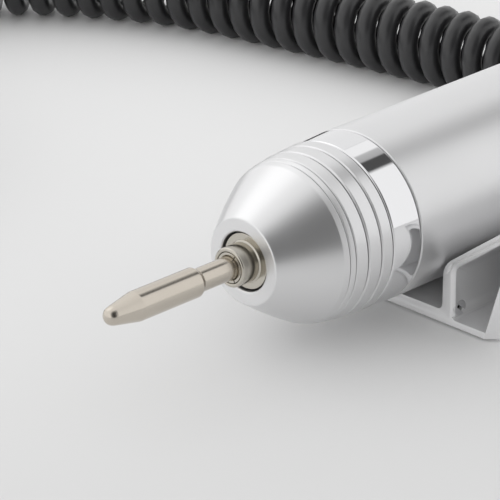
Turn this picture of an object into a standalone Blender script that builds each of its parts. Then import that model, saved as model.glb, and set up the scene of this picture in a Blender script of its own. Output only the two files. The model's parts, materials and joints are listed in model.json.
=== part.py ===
import math

import bmesh
import bpy
from mathutils import Matrix, Vector

mm = 0.001

# Fits and cutters
seat_gap = 0.2 * mm
slide_gap = 0.1 * mm
seam = 0.15 * mm
cord_gap = 0.3 * mm
overrun = 1.0 * mm

# Shank, collet and spindle
shank_radius = 1.175 * mm
shank_inserted = 16.0 * mm
collet_wall = 0.225 * mm
collet_recess = 0.3 * mm
slit_width = 0.3 * mm
slit_length = 9.0 * mm
slit_count = 3
collar_wall = 0.28 * mm
collar_length = 2.15 * mm
collar_chamfer = 0.25 * mm
flange_radius = 2.75 * mm
flange_thickness = 0.8 * mm
flange_recess = 0.2 * mm
spindle_wall = 0.7 * mm
spring_seat_thickness = 1.0 * mm
stem_radius = 0.8 * mm

# Bit
neck_length = 4.2 * mm
head_radius = 1.5 * mm
head_length = 8.1 * mm
head_chamfer = 0.5 * mm
taper_length = 2.9 * mm
tip_radius = 0.93 * mm
tip_height = 0.9 * mm

# Bearings
bearing_section = 2.1 * mm
bearing_width = 2.5 * mm
race_thickness = 0.7 * mm
ball_radius = 0.55 * mm
ball_count = 7
cage_thickness = 0.3 * mm
cage_width = 1.1 * mm
bearing_setback = 2.15 * mm
bearing_span = 26.5 * mm
retainer_width = 1.4 * mm
retainer_reach = 1.1 * mm

# Twist mechanism
chuck_travel = 1.0 * mm
chuck_turn = math.radians(45)
draw_pin_radius = 0.4 * mm
draw_pin_reach = 0.9 * mm
draw_pin_setback = 7.7 * mm
sleeve_lip = 1.2 * mm
cam_pin_radius = 0.5 * mm
cam_pin_count = 2
cam_pin_setback = 1.0 * mm
cam_ring_wall = 1.1 * mm
cam_base = 1.4 * mm
cam_run_out = math.radians(14)
cam_run_in = math.radians(12)
cam_steps = 36
chuck_spring_wire = 0.34 * mm
chuck_spring_length = 8.8 * mm
chuck_spring_turns = 5
nut_length = 1.9 * mm

# Nose, chrome ring and barrel
housing_wall = 0.8 * mm
housing_shoulder = 0.4 * mm
nose_wall = 1.9 * mm
nose_face_radius = 5.0 * mm
nose_face_edge = 0.55 * mm
nose_lip = 0.75 * mm
nose_hole_radius = 3.03 * mm
nose_hole_chamfer = 0.2 * mm
cone_length = 5.7 * mm
cone_crown = 0.12 * mm
band_step = 0.95 * mm
band_lengths = [0.72 * mm, 0.67 * mm, 1.53 * mm, 1.71 * mm, 1.47 * mm]
band_radius_shares = [0.42, 0.55, 0.76, 0.9, 1.0]
groove_widths = [0.22 * mm, 0.22 * mm, 0.4 * mm, 0.3 * mm]
groove_depth = 0.2 * mm
ring_step = 0.1 * mm
ring_width = 3.6 * mm
ring_edge = 0.12 * mm
barrel_wall = 1.0 * mm
barrel_length = 84.0 * mm
barrel_swell = 0.7 * mm
barrel_edge = 0.2 * mm
swell_place_shares = [0.55, 0.68, 0.8, 0.9]
swell_shares = [0.0, 0.45, 0.9, 1.0]
rear_cap_length = 12.0 * mm
rear_cap_spigot = 5.0 * mm
rear_cap_wall = 1.3 * mm
rear_cap_neck_radius = 4.6 * mm
rear_cap_arc_steps = 4
relief_root_radius = 3.6 * mm
relief_end_radius = 2.1 * mm
relief_length = 24.0 * mm
relief_tail = 4.0 * mm
relief_flange = 1.2 * mm
relief_rib_depth = 0.45 * mm
relief_rib_count = 5

# Motor
coupling_gap = 1.2 * mm
coupling_wall = 0.9 * mm
coupling_length = 4.6 * mm
coupling_overlap = 1.5 * mm
motor_clearance = 0.6 * mm
motor_length = 33.0 * mm
can_wall = 0.6 * mm
motor_shaft_radius = 0.75 * mm
motor_shaft_tail = 1.8 * mm
bush_wall = 1.1 * mm
bush_length = 1.8 * mm
magnet_thickness = 1.2 * mm
magnet_angle = math.radians(128)
magnet_lead = 2.6 * mm
magnet_trail = 1.4 * mm
air_gap = 0.35 * mm
core_length = 17.0 * mm
core_setback = 5.2 * mm
core_hub_radius = 1.9 * mm
core_arm_width = 1.5 * mm
core_pole_thickness = 0.9 * mm
core_pole_angle = math.radians(88)
pole_count = 3
winding_thickness = 0.8 * mm
commutator_radius = 1.9 * mm
commutator_length = 3.6 * mm
commutator_slot = 0.3 * mm
brush_width = 1.7 * mm
brush_height = 2.3 * mm
brush_length = 1.8 * mm
brush_box_wall = 0.6 * mm
bell_thickness = 2.0 * mm
bell_wall = 0.8 * mm
leaf_thickness = 0.25 * mm
terminal_length = 3.6 * mm
terminal_width = 1.6 * mm
terminal_thickness = 0.4 * mm
clamp_ring_length = 3.0 * mm
wire_radius = 0.4 * mm

# Cradle
cradle_length = 41.0 * mm
cradle_setback = 4.5 * mm
channel_floor = 1.6 * mm
seat_clearance = 0.3 * mm
trough_clearance = 0.25 * mm
shoulder_radius = 2.45 * mm
shoulder_drop = math.radians(28.3)
wing_angle = math.radians(37.1)
wing_wall = 0.93 * mm
flank_angle = math.radians(73)
flank_wall = 1.4 * mm
flank_land = 0.15 * mm
post_wall = 1.17 * mm
cell_width = 4.5 * mm
far_cell_width = 3.1 * mm
cell_floor = 0.95 * mm
cell_fillet = 0.25 * mm
apex_radius = 1.6 * mm
apex_inner_radius = 0.6 * mm
channel_fillet = 0.7 * mm
screw_head_radius = 0.85 * mm
screw_head_height = 0.45 * mm
screw_radius = 0.35 * mm
screw_grip = 0.6 * mm
screw_slot_width = 0.4 * mm
screw_slot_depth = 0.25 * mm
screw_inset = 1.05 * mm
screw_rise = 1.0 * mm

# Cord
cord_radius = 1.15 * mm
curl_radius = 3.5 * mm
curl_pitch = 2.82 * mm
curl_points = 8
lead_spacing = 6.0 * mm
plug_radius = 4.2 * mm
plug_length = 15.0 * mm
plug_relief_length = 9.0 * mm
plug_relief_radius = 1.9 * mm
plug_edge = 0.8 * mm
plug_groove = 0.35 * mm
plug_groove_count = 4
jack_radius = 1.75 * mm
jack_length = 14.0 * mm
jack_collar_radius = 3.0 * mm
jack_collar_length = 1.2 * mm
jack_tip_radius = 1.1 * mm
jack_tip_length = 2.4 * mm
jack_band_width = 0.5 * mm
jack_band_depth = 0.12 * mm

# Facets
shell_steps = 32
part_steps = 20
small_steps = 12
arc_steps = 4

# Radii, from the shank outwards
collet_bore = shank_radius + slide_gap
collet_radius = collet_bore + collet_wall
spindle_bore = collet_radius + slide_gap
collar_radius = spindle_bore + collar_wall
spindle_radius = spindle_bore + spindle_wall
bearing_bore = spindle_radius + slide_gap
bearing_radius = bearing_bore + bearing_section
bearing_seat = bearing_radius + slide_gap
housing_bore = bearing_seat - housing_shoulder
housing_radius = bearing_seat + housing_wall
draw_pin_half = spindle_radius + draw_pin_reach
sleeve_bore = draw_pin_half + slide_gap
sleeve_radius = housing_bore - slide_gap
cam_ring_bore = housing_radius + seat_gap
cam_ring_radius = cam_ring_bore + cam_ring_wall
nose_cavity = cam_ring_radius + slide_gap
nose_rear_radius = nose_cavity + nose_wall
barrel_radius = nose_rear_radius + ring_step
barrel_bore = barrel_radius - barrel_wall
housing_body_radius = barrel_bore - seat_gap
motor_radius = barrel_bore - seat_gap
can_bore = motor_radius - can_wall
magnet_radius = can_bore - slide_gap
core_radius = magnet_radius - magnet_thickness - air_gap

# Stations along the axis, counted forward from the rear edge of the chrome ring
nose_rear = ring_width + seam
nose_kink = nose_rear + sum(band_lengths)
nose_face = nose_kink + cone_length
flange_front = nose_face - flange_recess
flange_rear = flange_front - flange_thickness
collar_front = flange_front + collar_length
front_bearing_front = flange_rear - bearing_setback
front_bearing_rear = front_bearing_front - bearing_width
rear_bearing_front = front_bearing_rear - bearing_span
rear_bearing_rear = rear_bearing_front - bearing_width
sleeve_front = front_bearing_rear - seat_gap - chuck_travel
cam_pin_place = sleeve_front - cam_pin_setback
draw_pin_place = cam_pin_place - draw_pin_setback
sleeve_lip_front = draw_pin_place - draw_pin_radius - slide_gap
sleeve_rear = sleeve_lip_front - sleeve_lip
cam_low = cam_pin_place - cam_pin_radius - slide_gap
cam_rear = cam_low - cam_base
shank_end = collar_front - shank_inserted
spring_seat_front = draw_pin_place - draw_pin_radius - 2 * sleeve_lip
spring_seat_rear = spring_seat_front - spring_seat_thickness
spring_rear = spring_seat_rear - seat_gap - chuck_spring_length
nut_front = spring_rear - seat_gap
nut_rear = nut_front - nut_length
collet_rear = nut_rear - seat_gap
spindle_rear = rear_bearing_rear - retainer_width - coupling_gap
housing_front = front_bearing_front + seat_gap
coupling_front = spindle_rear + coupling_overlap
coupling_rear = coupling_front - coupling_length
motor_front = coupling_rear - motor_clearance
housing_rear = motor_front + seat_gap
motor_rear = motor_front - motor_length
barrel_rear = -seam - barrel_length
cap_front = barrel_rear - seam
cap_rear = cap_front - rear_cap_length
relief_front = cap_rear + relief_tail
relief_rear = relief_front - relief_length

# Places in the part's frame: +Z up, the origin on the cradle's base below the handpiece's axis
axis_height = channel_floor + seat_clearance + barrel_radius
shoulder_reach = barrel_radius + trough_clearance + shoulder_radius
shoulder_bend = Vector(
    (shoulder_reach * math.cos(shoulder_drop), axis_height - shoulder_reach * math.sin(shoulder_drop))
)
post_inner = shoulder_bend.x - shoulder_radius
post_outer = post_inner + post_wall
ring_place = -cradle_length / 2 - cradle_setback
curl_height = curl_radius + cord_radius
exit_place = Vector((0, ring_place - relief_rear + cord_gap, axis_height))

# Route of the curly cord, chosen by hand: its straight lead, its curls and its tail
lead_route = [
    (0, 101.0 * mm, 10.3 * mm),
    (-2.5 * mm, 110.0 * mm, 7.4 * mm),
    (-9.5 * mm, 115.5 * mm, 3.6 * mm),
    (-18.0 * mm, 114.0 * mm, 1.6 * mm),
    (-24.0 * mm, 107.0 * mm, cord_radius),
    (-26.0 * mm, 96.0 * mm, cord_radius),
    (-24.5 * mm, 80.0 * mm, cord_radius),
    (-21.5 * mm, 64.0 * mm, cord_radius),
    (-20.0 * mm, 50.0 * mm, cord_radius),
    (-19.8 * mm, 40.0 * mm, cord_radius),
]
curl_route = [
    (-20.0 * mm, 29.0 * mm),
    (-33.9 * mm, 27.2 * mm),
    (-54.3 * mm, 23.4 * mm),
    (-72.0 * mm, 18.6 * mm),
    (-88.0 * mm, 7.5 * mm),
    (-96.0 * mm, -8.5 * mm),
    (-90.5 * mm, -26.0 * mm),
    (-74.5 * mm, -35.5 * mm),
    (-56.0 * mm, -41.5 * mm),
]
tail_route = [
    (-57.6 * mm, -50.5 * mm, 7.3 * mm),
    (-59.5 * mm, -58.5 * mm, 4.8 * mm),
    (-64.5 * mm, -66.0 * mm, 2.8 * mm),
    (-72.0 * mm, -70.5 * mm, 2.2 * mm),
    (-79.0 * mm, -71.8 * mm, 3.2 * mm),
]
plug_place = Vector((-86.0 * mm, -72.0 * mm, plug_radius))
plug_heading = math.radians(184)


def clear_scene():
    for obj in list(bpy.data.objects):
        bpy.data.objects.remove(obj, do_unlink=True)
    for group in list(bpy.data.collections):
        bpy.data.collections.remove(group)


def new_collection(name):
    group = bpy.data.collections.new(name)
    bpy.context.scene.collection.children.link(group)
    return group


def make_material(name, colour, roughness, metallic):
    material = bpy.data.materials.new(name)
    material.use_nodes = True
    shader = material.node_tree.nodes["Principled BSDF"]
    shader.inputs["Base Color"].default_value = (*colour, 1)
    shader.inputs["Roughness"].default_value = roughness
    shader.inputs["Metallic"].default_value = metallic
    material.diffuse_color = (*colour, 1)
    return material


def add_object(name, data, look=None, parent=None, group=None):
    obj = bpy.data.objects.new(name, data)
    (group or parts).objects.link(obj)
    obj.parent = parent
    if look:
        data.materials.append(make_material(name, *look))
    return obj


def mesh_from(name, shape):
    mesh = bpy.data.meshes.new(name)
    shape.to_mesh(mesh)
    shape.free()
    mesh.shade_smooth()
    mesh.set_sharp_from_angle(angle=math.radians(30))
    return mesh


def profile_object(name, outline, look, parent, steps, group=None, closed=True):
    """A turned piece. The outline runs down its outer side, front to rear, as (radius, station)."""
    shape = bmesh.new()
    corners = [shape.verts.new((radius, 0, station)) for radius, station in outline]
    for a, b in zip(corners, corners[1:]):
        shape.edges.new((a, b))
    if closed:
        shape.edges.new((corners[-1], corners[0]))
    mesh = bpy.data.meshes.new(name)
    shape.to_mesh(mesh)
    shape.free()
    obj = add_object(name, mesh, look, parent, group)
    screw = obj.modifiers.new("turn", "SCREW")
    screw.steps = steps
    screw.render_steps = steps
    screw.use_merge_vertices = True
    screw.merge_threshold = 0.00001
    screw.use_smooth_shade = True
    return obj


def ring_outline(outer, inner, front, rear):
    return [(outer, front), (outer, rear), (inner, rear), (inner, front)]


def evaluated_mesh(obj):
    """Replaces an object by the mesh that its curve or modifiers give, in the same place."""
    bpy.context.view_layer.update()
    settled = obj.evaluated_get(bpy.context.evaluated_depsgraph_get())
    mesh = bpy.data.meshes.new_from_object(settled)
    shape = bmesh.new()
    shape.from_mesh(mesh)
    bmesh.ops.remove_doubles(shape, verts=shape.verts, dist=0.000001)
    shape.to_mesh(mesh)
    shape.free()
    name, place, parent = obj.name, obj.matrix_world.copy(), obj.parent
    group = obj.users_collection[0]
    bpy.data.objects.remove(obj, do_unlink=True)
    fresh = bpy.data.objects.new(name, mesh)
    fresh.name = name
    group.objects.link(fresh)
    fresh.parent = parent
    fresh.matrix_world = place
    return fresh


def boolean(obj, cutter, operation="DIFFERENCE"):
    step = obj.modifiers.new(cutter.name, "BOOLEAN")
    step.operation = operation
    step.solver = "EXACT"
    step.object = cutter


def as_cutter(obj):
    for group in obj.users_collection:
        group.objects.unlink(obj)
    cutters.objects.link(obj)
    obj.hide_render = True
    obj.display_type = "WIRE"
    return obj


def block(name, size, place, look=None, parent=None, group=None, turn=0.0):
    """A box of that size, centred on place and turned about the local Z axis."""
    shape = bmesh.new()
    bmesh.ops.create_cube(shape, size=1)
    bmesh.ops.scale(shape, vec=Vector(size), verts=shape.verts)
    bmesh.ops.translate(shape, vec=Vector(place), verts=shape.verts)
    bmesh.ops.rotate(shape, verts=shape.verts, cent=(0, 0, 0), matrix=Matrix.Rotation(turn, 3, "Z"))
    mesh = bpy.data.meshes.new(name)
    shape.to_mesh(mesh)
    shape.free()
    return add_object(name, mesh, look, parent, group)


def rods(name, radius, starts, ends, steps, look=None, parent=None, group=None):
    """Straight round rods, one between each pair of points."""
    shape = bmesh.new()
    for start, end in zip(starts, ends):
        start, end = Vector(start), Vector(end)
        along = end - start
        facing = along.to_track_quat("Z", "Y").to_matrix().to_4x4()
        place = Matrix.Translation((start + end) / 2) @ facing
        bmesh.ops.create_cone(
            shape,
            cap_ends=True,
            segments=steps,
            radius1=radius,
            radius2=radius,
            depth=along.length,
            matrix=place,
        )
    return add_object(name, mesh_from(name, shape), look, parent, group)


def arc(centre, radius, start, end, steps):
    """Points on an arc, both ends among them."""
    angles = [start + (end - start) * i / steps for i in range(steps + 1)]
    return [
        (centre[0] + radius * math.cos(a), centre[1] + radius * math.sin(a)) for a in angles
    ]


def rounded(corners, steps=arc_steps):
    """A closed outline whose corners, given as (x, y, radius), are rounded by tangent arcs."""
    points = []
    for i, (x, y, radius) in enumerate(corners):
        here = Vector((x, y))
        before = Vector(corners[i - 1][:2]) - here
        after = Vector(corners[(i + 1) % len(corners)][:2]) - here
        if radius == 0:
            points.append((x, y))
            continue
        half = before.angle(after) / 2
        middle = here + (before.normalized() + after.normalized()).normalized() * radius / math.sin(half)
        first = here + before.normalized() * radius / math.tan(half) - middle
        last = here + after.normalized() * radius / math.tan(half) - middle
        start = math.atan2(first.y, first.x)
        sweep = math.remainder(math.atan2(last.y, last.x) - start, 2 * math.pi)
        points += arc(middle, radius, start, start + sweep, steps)
    return points


def flat_object(name, outlines, thickness, look=None, parent=None, group=None):
    """A flat outline with its holes, thick along the local Z axis and centred on it."""
    curve = bpy.data.curves.new(name, "CURVE")
    curve.dimensions = "2D"
    curve.fill_mode = "BOTH"
    curve.extrude = thickness / 2
    for outline in outlines:
        spline = curve.splines.new("POLY")
        spline.points.add(len(outline) - 1)
        for point, (x, y) in zip(spline.points, outline):
            point.co = (x, y, 0, 1)
        spline.use_cyclic_u = True
    return add_object(name, curve, look, parent, group)


def tube(name, points, radius, look, resolution, parent=None):
    curve = bpy.data.curves.new(name, "CURVE")
    curve.dimensions = "3D"
    curve.bevel_depth = radius
    curve.bevel_resolution = resolution
    curve.use_fill_caps = True
    spline = curve.splines.new("POLY")
    spline.points.add(len(points) - 1)
    for point, place in zip(spline.points, points):
        point.co = (*place, 1)
    return add_object(name, curve, look, parent)


def smooth_line(route, spacing):
    """Points every spacing along a smooth curve through the route's own points."""
    route = [Vector(p) for p in route]
    ends = [2 * route[0] - route[1], *route, 2 * route[-1] - route[-2]]
    fine = []
    for p0, p1, p2, p3 in zip(ends, ends[1:], ends[2:], ends[3:]):
        shares = [i / 24 for i in range(24)]
        for t in shares:
            fine.append(
                0.5
                * (
                    2 * p1
                    + (p2 - p0) * t
                    + (2 * p0 - 5 * p1 + 4 * p2 - p3) * t**2
                    + (3 * p1 - p0 - 3 * p2 + p3) * t**3
                )
            )
    fine.append(route[-1])
    travelled = [0.0]
    for a, b in zip(fine, fine[1:]):
        travelled.append(travelled[-1] + (b - a).length)
    count = max(2, round(travelled[-1] / spacing))
    line, i = [], 0
    for k in range(count + 1):
        place = travelled[-1] * k / count
        while i < len(fine) - 2 and travelled[i + 1] < place:
            i += 1
        share = (place - travelled[i]) / (travelled[i + 1] - travelled[i])
        line.append(fine[i].lerp(fine[i + 1], min(1.0, share)))
    return line


def line_crossing(point_a, angle_a, point_b, angle_b):
    """Where two lines in the section meet, each given by a point and its angle."""
    da = Vector((math.cos(angle_a), math.sin(angle_a)))
    db = Vector((math.cos(angle_b), math.sin(angle_b)))
    between = Vector(point_b) - Vector(point_a)
    return Vector(point_a) + da * (between.cross(db) / da.cross(db))


def half_section(width):
    """Corners of one side's outline and of its cell, and a point on its flank, for a cell this wide at its floor."""
    wing_normal = Vector((-math.sin(wing_angle), math.cos(wing_angle)))
    wing_top = shoulder_bend + wing_normal * shoulder_radius
    wing_under = wing_top - wing_normal * wing_wall
    cell_corner = Vector((post_outer + width, cell_floor))
    flank_outer = cell_corner + Vector((math.sin(flank_angle), -math.cos(flank_angle))) * flank_wall
    up, level = math.pi / 2, 0.0
    shoulder = line_crossing((post_inner, 0), up, wing_top, wing_angle)
    apex = line_crossing(flank_outer, flank_angle, wing_top, wing_angle)
    foot = line_crossing(flank_outer, flank_angle, (0, 0), level)
    inner_shoulder = line_crossing((post_outer, 0), up, wing_under, wing_angle)
    inner_apex = line_crossing(cell_corner, flank_angle, wing_under, wing_angle)
    outside = [
        (*foot, 0),
        (*apex, apex_radius),
        (*shoulder, shoulder_radius),
        (post_inner, channel_floor, channel_fillet),
    ]
    cell = [
        (post_outer, cell_floor, cell_fillet),
        (*cell_corner, 0),
        (*inner_apex, apex_inner_radius),
        (*inner_shoulder, shoulder_radius - post_wall),
    ]
    return outside, cell, flank_outer


def make_cradle():
    """The extruded rest: a channel between two posts, with wings that fold down into flanks."""
    near, near_cell, near_flank = half_section(cell_width)
    far, far_cell, far_flank = half_section(far_cell_width)
    outside = rounded([*near, *[(-x, z, radius) for x, z, radius in reversed(far)]])
    cells = [rounded(near_cell), rounded([(-x, z, radius) for x, z, radius in reversed(far_cell)])]
    section = flat_object("cradle", [outside, *cells], cradle_length)
    section.rotation_euler.x = math.pi / 2
    cradle = evaluated_mesh(section)
    cut = (flank_wall - flank_land) / math.sqrt(2)
    size = 2 * (channel_floor + barrel_radius)
    sides = [(1, near_flank), (-1, far_flank)]
    for side, flank in sides:
        along = Vector((side * math.cos(flank_angle), 0, math.sin(flank_angle)))
        outward = Vector((side * math.sin(flank_angle), 0, -math.cos(flank_angle)))
        for end in (-1, 1):
            facing = (outward + Vector((0, end, 0))).normalized()
            corner = Vector((side * flank.x, end * cradle_length / 2, flank.y))
            wedge = block("flank_wedge", (size, size, 2 * size), (0, 0, 0))
            across = along.cross(facing)
            turned = Matrix((facing, across, along)).transposed().to_4x4()
            wedge.matrix_world = Matrix.Translation(corner + facing * (size / 2 - cut)) @ turned
            boolean(cradle, as_cutter(wedge))
    cradle.data.materials.append(make_material("cradle", (0.72, 0.73, 0.75), 0.35, 1.0))
    place_y = cradle_length / 2 - screw_inset
    place_z = cell_floor + screw_rise
    corners = [(side, end) for side in (-1, 1) for end in (-1, 1)]
    depth = screw_grip + seat_gap
    starts = [(side * (post_outer - depth), end * place_y, place_z) for side, end in corners]
    ends = [(side * (post_outer + overrun), end * place_y, place_z) for side, end in corners]
    drill = rods("cradle_drill", screw_radius + slide_gap, starts, ends, small_steps)
    boolean(cradle, as_cutter(drill))
    for i, (side, end) in enumerate(corners):
        make_cradle_screw(i + 1, side, end * place_y, place_z)


def make_cradle_screw(number, side, y, z):
    """A small slotted screw in the foot of a post."""
    head_in = post_outer + slide_gap
    head_out = head_in + screw_head_height
    look = ((0.55, 0.55, 0.56), 0.3, 1.0)
    ends = [(side * head_in, y, z)], [(side * head_out, y, z)]
    screw = rods("cradle_screw_" + str(number), screw_head_radius, *ends, small_steps, look)
    ends = [(side * (post_outer - screw_grip), y, z)], [(side * (head_in + screw_slot_depth / 2), y, z)]
    shank = rods("screw_shank", screw_radius, *ends, small_steps)
    slot_size = (2 * screw_slot_depth, 2 * screw_head_radius + overrun, screw_slot_width)
    slot = block("screw_slot", slot_size, (side * head_out, y, z))
    boolean(screw, as_cutter(shank), "UNION")
    boolean(screw, as_cutter(slot))


def make_nose(frame):
    """The twist sleeve: flat face, crowned cone and grooved bands, with the cam ring's cavity inside."""
    edge = arc((nose_face_radius - nose_face_edge, nose_face - nose_face_edge), nose_face_edge, math.pi / 2, 0.5, 3)
    kink_radius = nose_rear_radius - band_step
    middle = ((edge[-1][0] + kink_radius) / 2 + cone_crown, (edge[-1][1] + nose_kink) / 2)
    outline = [(nose_hole_radius + nose_hole_chamfer, nose_face), *edge, middle, (kink_radius, nose_kink)]
    station = nose_kink
    for length, share, width in zip(band_lengths, band_radius_shares, groove_widths):
        station -= length
        radius = kink_radius + band_step * share
        outline.append((radius, station + width / 2))
        outline.append((radius - groove_depth, station))
        outline.append((radius, station - width / 2))
    outline.append((nose_rear_radius, nose_rear))
    cavity_front = cam_pin_place + chuck_travel + cam_pin_radius + seat_gap
    nose_bore = housing_radius + slide_gap
    bore_front = housing_front + seat_gap
    outline += [
        (nose_cavity, nose_rear),
        (nose_cavity, cavity_front),
        (nose_bore, cavity_front),
        (nose_bore, bore_front),
        (nose_hole_radius + nose_hole_chamfer, nose_face - nose_lip),
        (nose_hole_radius, nose_face - nose_lip),
        (nose_hole_radius, nose_face - nose_hole_chamfer),
    ]
    profile_object("nose_sleeve", outline, ((0.78, 0.79, 0.81), 0.35, 1.0), frame, shell_steps)
    make_cam_ring(frame)


def cam_height(angle):
    """Height of the cam's front face: a steady ramp for each pin, and a long fall to the next."""
    sector = 2 * math.pi / cam_pin_count
    angle = (angle + cam_run_in) % sector
    ramp_end = cam_run_in + chuck_turn + cam_run_out
    slope = chuck_travel / chuck_turn
    low = cam_low - slope * cam_run_in
    if angle < ramp_end:
        return low + slope * angle
    fall = (angle - ramp_end) / (sector - ramp_end)
    return low + slope * ramp_end * (1 - fall)


def make_cam_ring(frame):
    """A ring inside the nose whose front face winds forward and lifts the two cam pins."""
    shape = bmesh.new()
    rings = []
    for i in range(cam_steps):
        angle = 2 * math.pi * i / cam_steps
        c, s = math.cos(angle), math.sin(angle)
        front = cam_height(angle)
        corners = ring_outline(cam_ring_radius, cam_ring_bore, front, cam_rear)
        rings.append([shape.verts.new((r * c, r * s, z)) for r, z in corners])
    for now, after in zip(rings, rings[1:] + rings[:1]):
        for k in range(4):
            shape.faces.new((now[k], now[(k + 1) % 4], after[(k + 1) % 4], after[k]))
    bmesh.ops.recalc_face_normals(shape, faces=shape.faces)
    add_object("cam_ring", mesh_from("cam_ring", shape), ((0.62, 0.6, 0.56), 0.4, 1.0), frame)


def make_thrust_sleeve(frame):
    """The sliding sleeve that the cam pins carry forward, and whose lip pushes the draw pin."""
    lip_bore = spindle_radius + seat_gap
    outline = [
        (sleeve_radius, sleeve_front),
        (sleeve_radius, sleeve_rear),
        (lip_bore, sleeve_rear),
        (lip_bore, sleeve_lip_front),
        (sleeve_bore, sleeve_lip_front),
        (sleeve_bore, sleeve_front),
    ]
    sleeve = profile_object("thrust_sleeve", outline, ((0.6, 0.6, 0.62), 0.35, 1.0), frame, part_steps)
    inner, outer = sleeve_bore, cam_ring_radius - slide_gap
    starts, ends = [], []
    for i in range(cam_pin_count):
        turn = 2 * math.pi * i / cam_pin_count
        ray = Vector((math.cos(turn), math.sin(turn), 0))
        up = Vector((0, 0, cam_pin_place))
        look = ((0.5, 0.5, 0.52), 0.25, 1.0)
        name = "cam_pin_" + str(i + 1)
        rods(name, cam_pin_radius, [ray * inner + up], [ray * outer + up], small_steps, look, frame)
        starts.append(ray * spindle_radius + up)
        ends.append(ray * outer + up)
    drill = rods("sleeve_drill", cam_pin_radius + slide_gap, starts, ends, small_steps, parent=frame)
    boolean(sleeve, as_cutter(drill))


def make_housing(frame):
    """The fixed core: bearing seats, the pins' slots and the body that the ring and barrel slide on."""
    outline = [
        (housing_radius, housing_front),
        (housing_radius, nose_rear - seam),
        (housing_body_radius, nose_rear - seam),
        (housing_body_radius, housing_rear),
        (bearing_seat, housing_rear),
        (bearing_seat, rear_bearing_front + seat_gap),
        (housing_bore, rear_bearing_front + seat_gap),
        (housing_bore, front_bearing_rear - seat_gap),
        (bearing_seat, front_bearing_rear - seat_gap),
        (bearing_seat, housing_front),
    ]
    housing = profile_object("front_housing", outline, ((0.66, 0.67, 0.69), 0.45, 1.0), frame, part_steps)
    length = chuck_travel + 2 * cam_pin_radius + 2 * seat_gap
    slot = block(
        "housing_slots",
        (2 * cam_ring_radius, 2 * (cam_pin_radius + slide_gap), length),
        (0, 0, cam_pin_place + chuck_travel / 2),
        parent=frame,
    )
    boolean(housing, as_cutter(slot))


def make_bearing(name, front, frame):
    """One ball bearing: an outer race, an inner race and its balls."""
    rear = front - bearing_width
    middle = (front + rear) / 2
    pitch = (bearing_bore + bearing_radius) / 2
    groove = ball_radius + slide_gap
    inner_land = bearing_bore + race_thickness
    outer_land = bearing_radius - race_thickness
    spread = math.acos((pitch - inner_land) / groove)
    bite = math.acos((outer_land - pitch) / groove)
    outer_groove = arc((pitch, middle), groove, -bite, bite, 3)
    inner_groove = arc((pitch, middle), groove, math.pi - spread, math.pi + spread, 3)
    steel = ((0.7, 0.7, 0.72), 0.15, 1.0)
    outer_outline = [(bearing_radius, front), (bearing_radius, rear), (outer_land, rear), *outer_groove, (outer_land, front)]
    inner_outline = [(inner_land, front), *inner_groove, (inner_land, rear), (bearing_bore, rear), (bearing_bore, front)]
    profile_object(name + "_outer_race", outer_outline, steel, frame, part_steps)
    profile_object(name + "_inner_race", inner_outline, steel, frame, part_steps)
    shape = bmesh.new()
    for i in range(ball_count):
        turn = 2 * math.pi * i / ball_count
        place = Matrix.Translation((pitch * math.cos(turn), pitch * math.sin(turn), middle))
        bmesh.ops.create_uvsphere(shape, u_segments=6, v_segments=4, radius=ball_radius, matrix=place)
    balls = add_object("balls", mesh_from("balls", shape), None, frame)
    half, across = cage_width / 2, cage_thickness / 2
    cage_outline = ring_outline(pitch + across, pitch - across, middle + half, middle - half)
    cage = profile_object(name + "_balls", cage_outline, steel, frame, part_steps)
    boolean(cage, as_cutter(balls), "UNION")


def make_spindle(frame):
    """The hollow spindle: collar and flange that show in the nose, journals, and the spring's seat."""
    hole = stem_radius + slide_gap
    outline = [
        (collar_radius - collar_chamfer, collar_front),
        (collar_radius, collar_front - collar_chamfer),
        (collar_radius, flange_front),
        (flange_radius, flange_front),
        (flange_radius, flange_rear),
        (spindle_radius, flange_rear),
        (spindle_radius, spindle_rear),
        (spindle_bore, spindle_rear),
        (spindle_bore, spring_seat_rear),
        (hole, spring_seat_rear),
        (hole, spring_seat_front),
        (spindle_bore, spring_seat_front),
        (spindle_bore, collar_front),
    ]
    spindle = profile_object("spindle", outline, ((0.62, 0.57, 0.5), 0.25, 1.0), frame, part_steps)
    length = chuck_travel + 2 * draw_pin_radius + 2 * slide_gap
    slot = block(
        "spindle_slots",
        (2 * (draw_pin_radius + slide_gap), 2 * flange_radius, length),
        (0, 0, draw_pin_place + chuck_travel / 2),
        parent=frame,
    )
    boolean(spindle, as_cutter(slot))


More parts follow.
